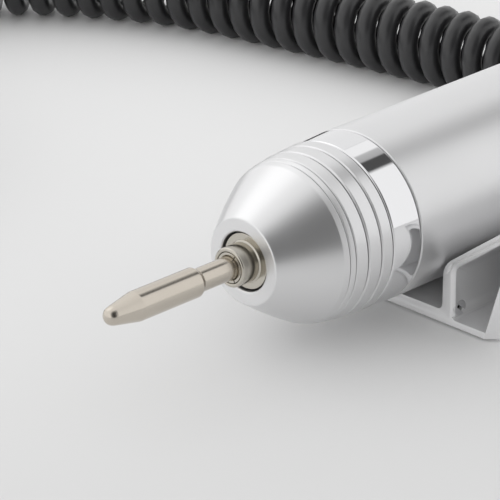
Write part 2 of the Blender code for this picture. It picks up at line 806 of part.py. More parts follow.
def make_collet(frame):
    """The slit collet, its stem through the spring, the cross pin that draws it and its tail nut."""
    front = collar_front - collet_recess
    socket_end = shank_end - seat_gap
    stem_front = spring_seat_front + seat_gap
    outline = [
        (collet_radius, front),
        (collet_radius, stem_front),
        (stem_radius, stem_front),
        (stem_radius, collet_rear),
        (0, collet_rear),
        (0, socket_end),
        (collet_bore, socket_end),
        (collet_bore, front),
    ]
    collet = profile_object("collet", outline, ((0.55, 0.54, 0.52), 0.3, 1.0), frame, part_steps)
    sector = 2 * math.pi / slit_count
    for i in range(slit_count):
        slit = block(
            "collet_slit",
            (2 * collet_radius, slit_width, 2 * slit_length),
            (collet_radius, 0, front),
            parent=frame,
            turn=sector * (i + 0.5),
        )
        boolean(collet, as_cutter(slit))
    across = draw_pin_half
    pin = [(0, -across, draw_pin_place)], [(0, across, draw_pin_place)]
    rods("draw_pin", draw_pin_radius, *pin, small_steps, ((0.5, 0.5, 0.52), 0.25, 1.0), frame)
    drill = rods("collet_drill", draw_pin_radius + slide_gap, *pin, small_steps, parent=frame)
    boolean(collet, as_cutter(drill))
    nut = ring_outline(collet_radius, stem_radius + slide_gap, nut_front, nut_rear)
    profile_object("collet_nut", nut, ((0.6, 0.52, 0.32), 0.35, 1.0), frame, part_steps)
    turns = chuck_spring_turns
    coil_radius = (spindle_bore + stem_radius) / 2
    front, rear = spring_seat_rear - seat_gap - chuck_spring_wire / 2, spring_rear + chuck_spring_wire / 2
    points = []
    count = turns * curl_points
    for i in range(count + 1):
        angle = 2 * math.pi * turns * i / count
        station = front + (rear - front) * i / count
        points.append((coil_radius * math.cos(angle), coil_radius * math.sin(angle), station))
    spring = ((0.45, 0.45, 0.47), 0.3, 1.0)
    tube("chuck_spring", points, chuck_spring_wire / 2, spring, 1, frame)


def make_bit(frame):
    """The polishing pin in the chuck: plain shank, stepped head, taper and rounded tip."""
    head_rear = collar_front + neck_length
    taper_rear = head_rear + head_length
    tip_rear = taper_rear + taper_length
    dome = arc((0, 0), 1, math.pi / 2, 0, 4)
    outline = [(tip_radius * x, tip_rear + tip_height * z) for x, z in dome]
    outline += [
        (head_radius, taper_rear),
        (head_radius, head_rear + head_chamfer),
        (shank_radius, head_rear),
        (shank_radius, shank_end),
        (0, shank_end),
    ]
    profile_object("bit", outline, ((0.66, 0.6, 0.53), 0.25, 1.0), frame, small_steps, closed=False)


def make_shells(frame):
    """Chrome ring, barrel, rear cap and the ribbed strain relief."""
    inner = barrel_bore
    ring = [
        (barrel_radius - ring_edge, ring_width),
        (barrel_radius, ring_width - ring_edge),
        (barrel_radius, ring_edge),
        (barrel_radius - ring_edge, 0),
        (inner, 0),
        (inner, ring_width),
    ]
    profile_object("chrome_ring", ring, ((0.9, 0.9, 0.92), 0.05, 1.0), frame, shell_steps)
    silver = ((0.78, 0.79, 0.81), 0.35, 1.0)
    front = -seam
    grip = [(barrel_radius - barrel_edge, front), (barrel_radius, front - barrel_edge)]
    for place, swell in zip(swell_place_shares, swell_shares):
        grip.append((barrel_radius + barrel_swell * swell, front - barrel_length * place))
    rear_radius = barrel_radius + barrel_swell * swell_shares[-1] - barrel_edge
    grip += [(rear_radius, barrel_rear), (inner, barrel_rear), (inner, front)]
    profile_object("barrel", grip, silver, frame, shell_steps)
    spigot = inner - seat_gap
    cap_outer = []
    for i in range(rear_cap_arc_steps + 1):
        turn = math.pi / 2 * i / rear_cap_arc_steps
        radius = rear_cap_neck_radius + (rear_radius - rear_cap_neck_radius) * math.cos(turn)
        cap_outer.append((radius, cap_front - rear_cap_length * math.sin(turn)))
    cavity_end = cap_rear + relief_tail
    cap = [
        (spigot, cap_front + rear_cap_spigot),
        (spigot, cap_front),
        *cap_outer,
        (relief_root_radius + seat_gap, cap_rear),
        (relief_root_radius + seat_gap, cavity_end - relief_flange),
        (rear_cap_neck_radius, cavity_end),
        (spigot - rear_cap_wall, cap_front - rear_cap_wall),
        (spigot - rear_cap_wall, cap_front + rear_cap_spigot),
    ]
    profile_object("rear_cap", cap, silver, frame, shell_steps)
    front = cavity_end - relief_flange - seat_gap
    relief = [(0, front), (relief_root_radius, front)]
    ribs = 2 * relief_rib_count
    ribbed = cap_rear - relief_rear
    for i in range(ribs):
        share = (i + 1) / (ribs + 1)
        radius = relief_root_radius + (relief_end_radius - relief_root_radius) * share
        depth = relief_rib_depth * (i % 2)
        for edge_share in (0.1, 0.9):
            relief.append((radius - depth, cap_rear - ribbed * (i + edge_share) / ribs))
    relief += [(relief_end_radius, relief_rear), (0, relief_rear)]
    profile_object("strain_relief", relief, ((0.03, 0.03, 0.03), 0.6, 0.0), frame, small_steps, closed=False)


def make_drive(frame):
    """Retainer behind the rear bearing, and the coupling between spindle and motor shaft."""
    retainer = ring_outline(
        bearing_radius, bearing_radius - retainer_reach, rear_bearing_rear - seat_gap, rear_bearing_rear - retainer_width
    )
    profile_object("bearing_retainer", retainer, ((0.6, 0.52, 0.32), 0.35, 1.0), frame, part_steps)
    socket = spindle_radius + slide_gap
    shaft_hole = motor_shaft_radius + slide_gap
    outline = [
        (socket + coupling_wall, coupling_front),
        (socket + coupling_wall, coupling_rear),
        (shaft_hole, coupling_rear),
        (shaft_hole, spindle_rear - seat_gap),
        (socket, spindle_rear - seat_gap),
        (socket, coupling_front),
    ]
    profile_object("drive_coupling", outline, ((0.12, 0.12, 0.13), 0.5, 0.0), frame, part_steps)


def make_motor(frame):
    """The brushed motor: can, bush, magnets, wound armature, commutator, brushes and end bell."""
    shaft_hole = motor_shaft_radius + slide_gap
    bush_radius = shaft_hole + bush_wall
    bush_hole = bush_radius + slide_gap
    can = [
        (motor_radius, motor_front),
        (motor_radius, motor_rear),
        (can_bore, motor_rear),
        (can_bore, motor_front - can_wall),
        (bush_hole, motor_front - can_wall),
        (bush_hole, motor_front),
    ]
    profile_object("motor_can", can, ((0.5, 0.5, 0.52), 0.3, 1.0), frame, part_steps)
    brass = ((0.7, 0.55, 0.3), 0.35, 1.0)
    bush = ring_outline(bush_radius, shaft_hole, motor_front, motor_front - bush_length)
    profile_object("motor_bush", bush, brass, frame, part_steps)
    shaft = [
        (motor_shaft_radius, spindle_rear - 2 * seat_gap),
        (motor_shaft_radius, motor_rear - motor_shaft_tail),
        (0, motor_rear - motor_shaft_tail),
    ]
    shaft.insert(0, (0, shaft[0][1]))
    profile_object("motor_shaft", shaft, ((0.6, 0.6, 0.62), 0.2, 1.0), frame, small_steps, closed=False)
    make_magnets(frame)
    make_armature(frame)
    make_brush_gear(frame, shaft_hole)


def make_magnets(frame):
    """Two arc magnets along the can's wall."""
    inner = magnet_radius - magnet_thickness
    magnet_length = core_length + magnet_lead + magnet_trail
    middle = motor_front - core_setback + magnet_lead - magnet_length / 2
    for i, turn in enumerate((0, math.pi)):
        start, end = turn - magnet_angle / 2, turn + magnet_angle / 2
        outline = arc((0, 0), magnet_radius, start, end, 8) + arc((0, 0), inner, end, start, 8)
        look = ((0.1, 0.1, 0.11), 0.6, 0.0)
        half = flat_object("motor_magnet_" + str(i + 1), [outline], magnet_length, look, frame)
        half.location.z = middle


def make_armature(frame):
    """A three-pole laminated core with a coil on each arm, and the commutator behind it."""
    middle = motor_front - core_setback - core_length / 2
    sector = 2 * math.pi / pole_count
    throat = core_radius - core_pole_thickness
    half_arm = core_arm_width / 2
    outline = []
    for i in range(pole_count):
        turn = sector * i
        lean_out = math.asin(half_arm / throat)
        lean_in = math.asin(half_arm / core_hub_radius)
        pole = core_pole_angle / 2
        outline += arc((0, 0), core_hub_radius, turn - sector / 2, turn - lean_in, 2)
        outline += arc((0, 0), throat, turn - lean_out, turn - pole, 3)
        outline += arc((0, 0), core_radius, turn - pole, turn + pole, 6)
        outline += arc((0, 0), throat, turn + pole, turn + lean_out, 3)
        outline += arc((0, 0), core_hub_radius, turn + lean_in, turn + sector / 2, 2)[:-1]
    hole = arc((0, 0), motor_shaft_radius + slide_gap, 0, 2 * math.pi, small_steps)[:-1]
    core = flat_object("armature_core", [outline, hole], core_length, ((0.45, 0.45, 0.47), 0.5, 1.0), frame)
    core.location.z = middle
    make_windings(frame, middle, throat, half_arm)
    rear = motor_front - core_setback - core_length - winding_thickness - seat_gap
    ring = ring_outline(
        commutator_radius, motor_shaft_radius + slide_gap, rear - winding_thickness, rear - winding_thickness - commutator_length
    )
    commutator = profile_object("commutator", ring, ((0.72, 0.42, 0.26), 0.3, 1.0), frame, part_steps)
    for i in range(pole_count):
        slot = block(
            "commutator_slot",
            (commutator_slot * 2, commutator_slot, 2 * motor_length),
            (commutator_radius, 0, rear),
            parent=frame,
            turn=sector * (i + 0.5),
        )
        boolean(commutator, as_cutter(slot))


def make_windings(frame, middle, throat, half_arm):
    """One rounded coil round each arm of the core."""
    inner_x = half_arm + slide_gap
    inner_z = core_length / 2 + slide_gap
    outer_x, outer_z = inner_x + winding_thickness, inner_z + winding_thickness
    lean = inner_x + winding_thickness
    coil_start = math.sqrt(core_hub_radius**2 + lean**2) + slide_gap
    coil_end = math.sqrt(throat**2 - lean**2) - seat_gap
    for i in range(pole_count):
        turn = 2 * math.pi / pole_count * i
        outer = rounded(
            [
                (-outer_x, -outer_z, winding_thickness),
                (outer_x, -outer_z, winding_thickness),
                (outer_x, outer_z, winding_thickness),
                (-outer_x, outer_z, winding_thickness),
            ],
            2,
        )
        inner = [(-inner_x, -inner_z), (inner_x, -inner_z), (inner_x, inner_z), (-inner_x, inner_z)]
        name, look = "armature_winding_" + str(i + 1), ((0.6, 0.3, 0.15), 0.4, 1.0)
        coil = flat_object(name, [outer, inner], coil_end - coil_start, look, frame)
        facing = Matrix(((0, 0, 1), (1, 0, 0), (0, 1, 0))).to_4x4()
        shift = Matrix.Translation(((coil_start + coil_end) / 2, 0, middle))
        coil.matrix_local = Matrix.Rotation(turn, 4, "Z") @ shift @ facing


def make_brush_gear(frame, shaft_hole):
    """The end bell with its brush boxes, two carbon brushes on leaf springs, and the terminals."""
    spigot = can_bore - slide_gap
    bell_front = motor_rear
    bell_rear = bell_front - bell_thickness
    commutator_middle = (
        motor_front - core_setback - core_length - 2 * winding_thickness - seat_gap - commutator_length / 2
    )
    wall_front = commutator_middle + brush_height / 2 + brush_box_wall
    bell = [
        (spigot, wall_front),
        (spigot, bell_front - seam),
        (motor_radius, bell_front - seam),
        (motor_radius, bell_rear),
        (shaft_hole, bell_rear),
        (shaft_hole, bell_front - bell_thickness / 2),
        (spigot - bell_wall, bell_front - bell_thickness / 2),
        (spigot - bell_wall, wall_front),
    ]
    nylon = ((0.85, 0.84, 0.8), 0.5, 0.0)
    bell = profile_object("motor_end_bell", bell, nylon, frame, part_steps)
    brush_inner = commutator_radius + slide_gap
    brush_outer = brush_inner + brush_length
    box_inner = brush_inner + brush_box_wall
    box_outer = brush_outer - brush_box_wall / 2
    box_low, box_high = bell_front - bell_thickness / 2 - overrun / 2, wall_front
    slot_depth = brush_height + 2 * slide_gap
    carbon, copper = ((0.06, 0.06, 0.06), 0.7, 0.0), ((0.7, 0.5, 0.3), 0.35, 1.0)
    for number, side in (("1", 0), ("2", math.pi)):
        box = block(
            "brush_box",
            (box_outer - box_inner, brush_width + 2 * slide_gap + 2 * brush_box_wall, box_high - box_low),
            ((box_inner + box_outer) / 2, 0, (box_high + box_low) / 2),
            parent=frame,
            turn=side,
        )
        tunnel = block(
            "brush_tunnel",
            (motor_radius / 2, brush_width + 2 * slide_gap, slot_depth),
            ((box_inner + box_outer) / 2, 0, commutator_middle),
            parent=frame,
            turn=side,
        )
        window = (leaf_thickness + 2 * slide_gap, brush_width + 2 * slide_gap, 2 * bell_thickness)
        leaf_place = brush_outer + slide_gap + leaf_thickness / 2
        seat = block("leaf_seat", window, (leaf_place, 0, bell_front - bell_thickness), parent=frame, turn=side)
        boolean(bell, as_cutter(box), "UNION")
        boolean(bell, as_cutter(tunnel))
        boolean(bell, as_cutter(seat))
        brush_place = ((brush_inner + brush_outer) / 2, 0, commutator_middle)
        brush = (brush_length, brush_width, brush_height)
        block("carbon_brush_" + number, brush, brush_place, carbon, frame, turn=side)
        leaf_top = commutator_middle + brush_height / 2
        leaf = (leaf_thickness, brush_width, leaf_top - bell_rear)
        middle = (leaf_place, 0, (leaf_top + bell_rear) / 2)
        block("brush_spring_" + number, leaf, middle, copper, frame, turn=side)
        tab_front, tab_rear = bell_rear - seat_gap, bell_rear - terminal_length
        tab = (terminal_thickness, terminal_width, tab_front - tab_rear)
        middle = (leaf_place, 0, (tab_front + tab_rear) / 2)
        block("motor_terminal_" + number, tab, middle, copper, frame, turn=side)
    make_motor_leads(frame, bell_rear, leaf_place)


def make_motor_leads(frame, bell_rear, tab_place):
    """The clamp ring behind the motor, and two wires from the terminals to the strain relief."""
    ring_front = bell_rear - seat_gap
    clamp = ring_outline(motor_radius, motor_radius - 2 * bell_wall, ring_front, ring_front - clamp_ring_length)
    profile_object("motor_clamp_ring", clamp, ((0.12, 0.12, 0.13), 0.5, 0.0), frame, part_steps)
    start = bell_rear - terminal_length / 2
    end = relief_front - relief_flange
    beside = tab_place + terminal_thickness / 2 + wire_radius + slide_gap
    length = end - start
    rise_shares = [0.0, 0.12, 0.3, 0.55, 0.8, 1.0]
    pull_shares = [0.0, 0.05, 0.35, 0.8, 0.97, 1.0]
    for number, side in (("1", 1), ("2", -1)):
        near = side * (wire_radius + slide_gap)
        far = side * beside
        points = [
            (far + (near - far) * pull, 0, start + length * rise)
            for rise, pull in zip(rise_shares, pull_shares)
        ]
        line = smooth_line(points, lead_spacing / 2)
        tube("motor_wire_" + number, line, wire_radius, ((0.5, 0.05, 0.04), 0.5, 0.0), 1, frame)


def curl_line():
    """A helix round the route, evenly spaced on the inner side of each bend, from its foot to its top."""
    route = smooth_line([(x, y, curl_height) for x, y in curl_route], cord_radius / 4)
    heading = [(b - a).normalized() for a, b in zip(route, route[1:])]
    heading.append(heading[-1])
    up = Vector((0, 0, 1))
    phase, phases = 0.0, [0.0]
    for a, b, before, after in zip(route, route[1:], heading, heading[1:]):
        step = (b - a).length
        inner = max(step - curl_radius * before.angle(after), step / 2)
        phase += 2 * math.pi * inner / curl_pitch
        phases.append(phase)
    turns = round(phases[-1] / (2 * math.pi) - 0.5) + 0.5
    scale = 2 * math.pi * turns / phases[-1]
    count = round(turns * curl_points)
    line, i = [], 0
    for k in range(count + 1):
        wanted = 2 * math.pi * k / curl_points
        while i < len(phases) - 2 and phases[i + 1] * scale < wanted:
            i += 1
        share = (wanted - phases[i] * scale) / ((phases[i + 1] - phases[i]) * scale)
        centre = route[i].lerp(route[i + 1], min(1.0, share))
        side = heading[i].cross(up).normalized()
        line.append(centre - curl_radius * (side * math.sin(wanted) + up * math.cos(wanted)))
        way = (heading[i] * curl_pitch - 2 * math.pi * curl_radius * side * math.cos(wanted)).normalized()
        if k == 0:
            start = line[0] - way * 2 * cord_radius
    line.insert(0, start)
    line.append(line[-1] + way * 2 * cord_radius)
    return line, turns


def least_gap(line, radius, apart):
    """The smallest distance between the surfaces of two stretches that lie apart along the line."""
    least = math.inf
    for i, point in enumerate(line):
        for other in line[i + apart :]:
            least = min(least, (point - other).length)
    return least - 2 * radius


def make_cord():
    """The curly cord: straight lead, curls, tail and the jack plug at its end."""
    black = ((0.02, 0.02, 0.022), 0.4, 0.0)
    curls, turns = curl_line()
    print("curls", turns, "least gap mm", round(least_gap(curls, cord_radius, curl_points // 2) / mm, 2))
    tube("cord_curls", curls, cord_radius, black, 1)
    first, last = curls[0], curls[-1]
    into = (curls[0] - curls[1]).normalized()
    out = (curls[-1] - curls[-2]).normalized()
    lead = [
        exit_place,
        *lead_route,
        first + into * (cord_gap + 2 * cord_radius),
        first + into * cord_gap,
    ]
    tube("cord_lead", smooth_line(lead, lead_spacing), cord_radius, black, 2)
    back = Vector((math.cos(plug_heading), math.sin(plug_heading), 0))
    entry = plug_place - back * cord_gap
    tail = [last + out * cord_gap, last + out * (cord_gap + 2 * cord_radius), *tail_route, entry]
    tube("cord_tail", smooth_line(tail, lead_spacing / 2), cord_radius, black, 2)
    make_plug()


def make_plug():
    """A moulded jack plug that lies on the ground, turned about its own axis."""
    frame = bpy.data.objects.new("plug_frame", None)
    parts.objects.link(frame)
    frame.location = plug_place
    frame.rotation_euler = (math.pi / 2, 0, plug_heading - math.pi / 2)
    relief = -plug_relief_length
    body_end = relief - plug_length
    body = [(0, 0), (plug_relief_radius, 0)]
    steps = 2 * plug_groove_count
    for i in range(steps):
        share = i / steps
        radius = plug_relief_radius + (plug_radius - plug_edge - plug_relief_radius) * share
        station = relief * (i + 1) / (steps + 1)
        body.append((radius + plug_groove * ((i + 1) % 2), station))
    body += [
        (plug_radius - plug_edge, relief),
        (plug_radius, relief - plug_edge),
        (plug_radius, body_end + plug_edge),
        (plug_radius - plug_edge, body_end),
        (0, body_end),
    ]
    profile_object("plug_body", body, ((0.03, 0.03, 0.03), 0.45, 0.0), frame, small_steps, closed=False)
    start = body_end - seat_gap
    collar_end = start - jack_collar_length
    end = start - jack_length
    neck = end + jack_tip_length
    jack = [(0, start), (jack_collar_radius, start), (jack_collar_radius, collar_end), (jack_radius, collar_end)]
    band = neck + 2 * jack_band_width
    jack += [
        (jack_radius, band + jack_band_width),
        (jack_radius - jack_band_depth, band + jack_band_width / 2),
        (jack_radius, band),
        (jack_radius, neck + jack_band_width),
        (jack_tip_radius, neck),
        (jack_radius, neck - jack_band_width),
        (jack_tip_radius / 2, end),
        (0, end),
    ]
    profile_object("plug_jack", jack, ((0.75, 0.72, 0.66), 0.2, 1.0), frame, small_steps, closed=False)


def make_handpiece():
    frame = bpy.data.objects.new("handpiece_frame", None)
    parts.objects.link(frame)
    frame.location = (0, ring_place, axis_height)
    frame.rotation_euler.x = math.pi / 2
    bpy.context.view_layer.update()
    make_shells(frame)
    make_nose(frame)
    make_thrust_sleeve(frame)
    make_housing(frame)
    make_bearing("front_bearing", front_bearing_front, frame)
    make_bearing("rear_bearing", rear_bearing_front, frame)
    make_spindle(frame)
    make_collet(frame)
    make_bit(frame)
    make_drive(frame)
    make_motor(frame)


clear_scene()
parts = new_collection("electric_nail_drill")
cutters = new_collection("cutters")
make_cradle()
make_handpiece()
make_cord()
bpy.context.view_layer.update()
print("pieces", sum(1 for obj in parts.objects if obj.type != "EMPTY"))
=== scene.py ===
import json
import math

import bmesh
import bpy
from mathutils import Matrix, Vector

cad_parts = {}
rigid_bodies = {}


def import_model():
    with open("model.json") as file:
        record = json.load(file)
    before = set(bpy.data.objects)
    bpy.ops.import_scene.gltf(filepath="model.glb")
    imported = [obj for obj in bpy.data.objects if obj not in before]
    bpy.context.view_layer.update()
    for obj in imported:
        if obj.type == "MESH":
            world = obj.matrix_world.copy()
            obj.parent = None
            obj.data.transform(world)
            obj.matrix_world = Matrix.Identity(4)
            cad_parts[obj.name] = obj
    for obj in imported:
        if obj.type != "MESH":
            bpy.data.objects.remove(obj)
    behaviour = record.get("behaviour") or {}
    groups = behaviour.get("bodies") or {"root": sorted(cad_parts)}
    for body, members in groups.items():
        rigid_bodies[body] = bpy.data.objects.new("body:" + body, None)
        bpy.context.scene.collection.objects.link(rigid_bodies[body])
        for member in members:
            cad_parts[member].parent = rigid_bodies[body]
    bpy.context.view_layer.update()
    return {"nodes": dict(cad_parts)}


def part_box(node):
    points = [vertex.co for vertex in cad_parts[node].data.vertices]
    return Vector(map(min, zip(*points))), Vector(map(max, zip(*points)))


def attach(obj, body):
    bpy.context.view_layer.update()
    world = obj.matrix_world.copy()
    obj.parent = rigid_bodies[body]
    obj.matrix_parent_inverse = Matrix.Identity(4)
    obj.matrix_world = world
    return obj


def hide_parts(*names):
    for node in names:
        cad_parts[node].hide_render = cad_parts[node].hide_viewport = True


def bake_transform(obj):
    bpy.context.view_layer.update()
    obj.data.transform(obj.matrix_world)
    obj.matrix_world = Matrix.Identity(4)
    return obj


for extra in list(bpy.data.objects):  # what the factory scene brings
    bpy.data.objects.remove(extra, do_unlink=True)

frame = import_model()
print("frame loaded with", len(frame["nodes"]), "nodes")

mm = 0.001
ringPlace = -25.0  # where the chrome ring's rear edge sits along Y, in mm
axisHeight = 10.7  # the handpiece's axis above the floor, in mm
weldGap = 0.0000005  # points closer than this are one point, in metres
cadWeldGap = 0.000001  # the same for a copy of a CAD mesh
fullTurn = 2 * math.pi


# shader arithmetic: a socket that can be added, multiplied and so on
class Signal:
    def __init__(self, bench, socket):
        self.bench = bench
        self.socket = socket

    def maths(self, operation, *values):
        return self.bench.node("ShaderNodeMath", {"operation": operation}, dict(enumerate(values)))

    def __add__(self, other):
        return self.maths("ADD", self, other)

    def __radd__(self, other):
        return self.maths("ADD", other, self)

    def __sub__(self, other):
        return self.maths("SUBTRACT", self, other)

    def __rsub__(self, other):
        return self.maths("SUBTRACT", other, self)

    def __mul__(self, other):
        return self.maths("MULTIPLY", self, other)

    def __rmul__(self, other):
        return self.maths("MULTIPLY", other, self)

    def __truediv__(self, other):
        return self.maths("DIVIDE", self, other)

    def __pow__(self, other):
        return self.maths("POWER", self, other)

    def __abs__(self):
        return self.maths("ABSOLUTE", self)

    def waves(self, length):  # 0 to 1 and back over each length
        return self.maths("SINE", self * (fullTurn / length)) * 0.5 + 0.5

    def eased(self, low, high):  # 0 at low, 1 at high, smooth between
        settings = {"interpolation_type": "SMOOTHSTEP"}
        return self.bench.node("ShaderNodeMapRange", settings, {"Value": self, "From Min": low, "From Max": high})


class Bench:  # a node tree to build on
    def __init__(self, tree, coordinates):
        self.tree = tree
        self.place = self.node("ShaderNodeTexCoord", {}, {}, coordinates)

    def node(self, kind, settings, inputs, output=0):
        made = self.tree.nodes.new(kind)
        for key, value in settings.items():
            if key == "stops":
                ramp = made.color_ramp.elements
                for i, (position, colour) in enumerate(value):
                    stop = ramp[i] if i < len(ramp) else ramp.new(position)
                    stop.position, stop.color = position, colour
            else:
                setattr(made, key, value)
        for key, value in inputs.items():
            self.feed(made.inputs[key], value)
        return Signal(self, made.outputs[output])

    def feed(self, socket, value):
        if isinstance(value, Signal):
            self.tree.links.new(value.socket, socket)
        else:
            socket.default_value = value

    def along(self, axis):
        return self.node("ShaderNodeSeparateXYZ", {}, {0: self.place}, axis)

    def towards(self, way):  # how far a point, or a direction, lies along a way
        parts = [self.along(axis) * amount for axis, amount in zip("XYZ", way) if amount]
        return sum(parts[1:], parts[0])

    def noise(self, scale, detail=2.0, stretch=(1, 1, 1), roughness=0.5):
        spot = self.node("ShaderNodeMapping", {}, {"Vector": self.place, "Scale": stretch})
        inputs = {"Vector": spot, "Scale": scale, "Detail": detail, "Roughness": roughness}
        return self.node("ShaderNodeTexNoise", {}, inputs)

    def colours(self, amount, first, second):
        inputs = {0: amount, 6: (*first, 1), 7: (*second, 1)}
        return self.node("ShaderNodeMix", {"data_type": "RGBA"}, inputs, 2)


def mixed(first, second, share):  # numbers or signals
    return first * (1 - share) + second * share


class Finish(Bench):  # one material
    def __init__(self, name, colour, roughness, metallic=0.0, coat=0.0):
        self.material = bpy.data.materials.new(name)
        self.material.use_nodes = True
        super().__init__(self.material.node_tree, "Object")
        self.shader = self.tree.nodes["Principled BSDF"]
        self.shader.inputs["Base Color"].default_value = (*colour, 1)
        self.shader.inputs["Roughness"].default_value = roughness
        self.shader.inputs["Metallic"].default_value = metallic
        self.shader.inputs["Coat Weight"].default_value = coat

    def bump(self, height, distance, strength):
        inputs = {"Height": height, "Distance": distance, "Strength": strength}
        self.feed(self.shader.inputs["Normal"], self.node("ShaderNodeBump", {}, inputs))

    def colour(self, signal):
        self.feed(self.shader.inputs["Base Color"], signal)

    def rough(self, signal):
        self.feed(self.shader.inputs["Roughness"], signal)


# blasted and anodised aluminium: a fine even grain, faint cloudiness in the gloss
satinLook = {
    "colour": (0.745, 0.745, 0.75),
    "cloud": (0.71, 0.71, 0.715),
    "roughness": 0.32,
    "metallic": 0.94,
    "grainScale": 7000,
    "grainShare": 0.4,
    "cloudScale": 120,
    "gloss": (-0.04, 0.05),  # least, and how much cloud and grain add
    "turnedScale": 5200,
    "turnedStretch": (0.002, 1, 0.002),
    "turnedShare": 0.25,
    "barrelRough": 0.07,
    "barrelStart": (-0.0254, -0.025),
    "depth": 0.000006,
    "strength": 0.5,
}
cradleLook = {**satinLook, "roughness": 0.28, "metallic": 0.6, "barrelRough": 0, "turnedShare": 0}


def satinAluminium(name, look):
    finish = Finish(name, look["colour"], look["roughness"], metallic=look["metallic"])
    grain = finish.noise(look["grainScale"], detail=3.0)
    cloud = finish.noise(look["cloudScale"], detail=3.0)
    behindRing = finish.along("Y").eased(*look["barrelStart"])
    finish.colour(finish.colours(mixed(cloud, grain, look["grainShare"]), look["colour"], look["cloud"]))
    least, more = look["gloss"]
    finish.rough(look["roughness"] + least + cloud * more + grain * more + behindRing * look["barrelRough"])
    height = grain
    if look["turnedShare"]:
        lines = finish.noise(look["turnedScale"], stretch=look["turnedStretch"])
        height = mixed(grain, lines, look["turnedShare"])
    finish.bump(height, look["depth"], look["strength"])
    return finish.material


# plated or ground metal: near mirror, with hairlines round the axis
brightLook = {
    "lineScale": 9000,
    "lineStretch": (0.01, 1, 0.01),
    "lineShare": 0.3,
    "smearScale": 260,
    "gloss": (0.8, 0.4, 0.2),  # least, and what smears and lines add, as parts of the roughness
    "depth": 0.0000015,
}


def brightMetal(name, colour, roughness, hairlines=0.3, shade=0.9):
    look = brightLook
    finish = Finish(name, colour, roughness, metallic=1.0)
    lines = finish.noise(look["lineScale"], stretch=look["lineStretch"])
    smear = finish.noise(look["smearScale"], 3.0)
    darker = tuple(part * shade for part in colour)
    finish.colour(finish.colours(mixed(smear, lines, look["lineShare"]), colour, darker))
    least, smeared, lined = look["gloss"]
    finish.rough(roughness * (least + smear * smeared + lines * lined))
    finish.bump(lines, look["depth"], hairlines)
    return finish.material


# moulded polymer: fine spark texture and slight colour drift
plasticLook = {
    "driftScale": 90,
    "textureShare": 0.4,
    "paler": (1.15, 0.01),
    "gloss": (-0.05, 0.08, 0.04),  # least, and what texture and drift add
    "strength": 0.4,
}


def mouldedPlastic(name, colour, roughness, grain=2600, depth=0.00001):
    look = plasticLook
    finish = Finish(name, colour, roughness)
    texture = finish.noise(grain, 3.0)
    drift = finish.noise(look["driftScale"])
    times, more = look["paler"]
    paler = tuple(min(1.0, part * times + more) for part in colour)
    finish.colour(finish.colours(mixed(drift, texture, look["textureShare"]), colour, paler))
    least, textured, drifted = look["gloss"]
    finish.rough(roughness + least + texture * textured + drift * drifted)
    finish.bump(texture, depth, look["strength"])
    return finish.material


# dull steel; shade is painted into the bottoms of the cradle screws' slots, darker in colour and less metallic
toolLook = {
    "colour": (0.7, 0.7, 0.71),
    "paintedSlotShade": (0.02, 0.02, 0.02),
    "roughness": 0.32,
    "metallic": 0.7,
    "grainScale": 5200,
    "grainColour": 0.15,
    "grainRough": 0.08,
    "slotFloor": (0.00908, 0.0088),  # where the painted shade begins, from the middle of the cradle
    "slotBack": (0.0081, 0.0082),
    "slotTop": (0.003, 0.0028),
    "depth": 0.000006,
    "strength": 0.4,
}


def toolSteel(name, look):
    finish = Finish(name, look["colour"], look["roughness"])
    grain = finish.noise(look["grainScale"], 3.0)
    away = abs(finish.along("X"))
    # painted shade: a mask over the slot bottoms darkens the colour and takes away the metallic look
    slot = away.eased(*look["slotFloor"]) * away.eased(*look["slotBack"]) * finish.along("Z").eased(*look["slotTop"])
    outside = 1 - slot
    unshadedShare = outside * (1 - look["grainColour"] + grain * look["grainColour"])
    finish.colour(finish.colours(unshadedShare, look["paintedSlotShade"], look["colour"]))
    finish.feed(finish.shader.inputs["Metallic"], outside * look["metallic"])
    finish.rough(look["roughness"] + grain * look["grainRough"])
    finish.bump(grain, look["depth"], look["strength"])
    return finish.material


# thin sheets stacked along the axis, dark varnish between them
ironLook = {
    "colour": (0.45, 0.45, 0.47),
    "varnish": (0.2, 0.19, 0.19),
    "sheet": (0.5, 0.5, 0.52),
    "sheetWidth": 0.00035,
    "grainScale": 1800,
    "grainShare": 0.2,
    "roughness": (0.4, 0.25),
    "depth": 0.00004,
    "strength": 0.6,
}


def laminatedIron(name, look):
    least, more = look["roughness"]
    finish = Finish(name, look["colour"], least, metallic=1.0)
    sheets = finish.along("Y").waves(look["sheetWidth"])
    grain = finish.noise(look["grainScale"], 3.0)
    finish.colour(finish.colours(mixed(sheets, grain, look["grainShare"]), look["varnish"], look["sheet"]))
    finish.rough(least + grain * more)
    finish.bump(sheets, look["depth"], look["strength"])
    return finish.material


# enamelled wire laid side by side
copperLook = {
    "colour": (0.8, 0.42, 0.22),
    "between": 0.35,
    "wireWidth": 0.00028,
    "tintScale": 500,
    "tintShare": 0.3,
    "roughness": (0.22, 0.15),
    "coat": 0.5,
    "depth": 0.00008,
    "strength": 0.9,
}


def woundCopper(name, look):
    least, more = look["roughness"]
    finish = Finish(name, look["colour"], least, metallic=1.0, coat=look["coat"])
    wires = finish.along("Y").waves(look["wireWidth"])
    tint = finish.noise(look["tintScale"])
    darker = tuple(part * look["between"] for part in look["colour"])
    finish.colour(finish.colours(mixed(wires, tint, look["tintShare"]), darker, look["colour"]))
    finish.rough(least + tint * more)
    finish.bump(wires, look["depth"], look["strength"])
    return finish.material


# bonded magnet, carbon
powderLook = {"speckScale": 5200, "paler": (2.2, 0.01), "gloss": (-0.1, 0.2), "depth": 0.00002, "strength": 0.5}


def pressedPowder(name, colour, roughness):
    look = powderLook
    finish = Finish(name, colour, roughness)
    speck = finish.noise(look["speckScale"], 4.0, roughness=0.7)
    times, more = look["paler"]
    paler = tuple(part * times + more for part in colour)
    finish.colour(finish.colours(speck ** 3 * 2, colour, paler))
    least, specked = look["gloss"]
    finish.rough(roughness + least + speck * specked)
    finish.bump(speck, look["depth"], look["strength"])
    return finish.material


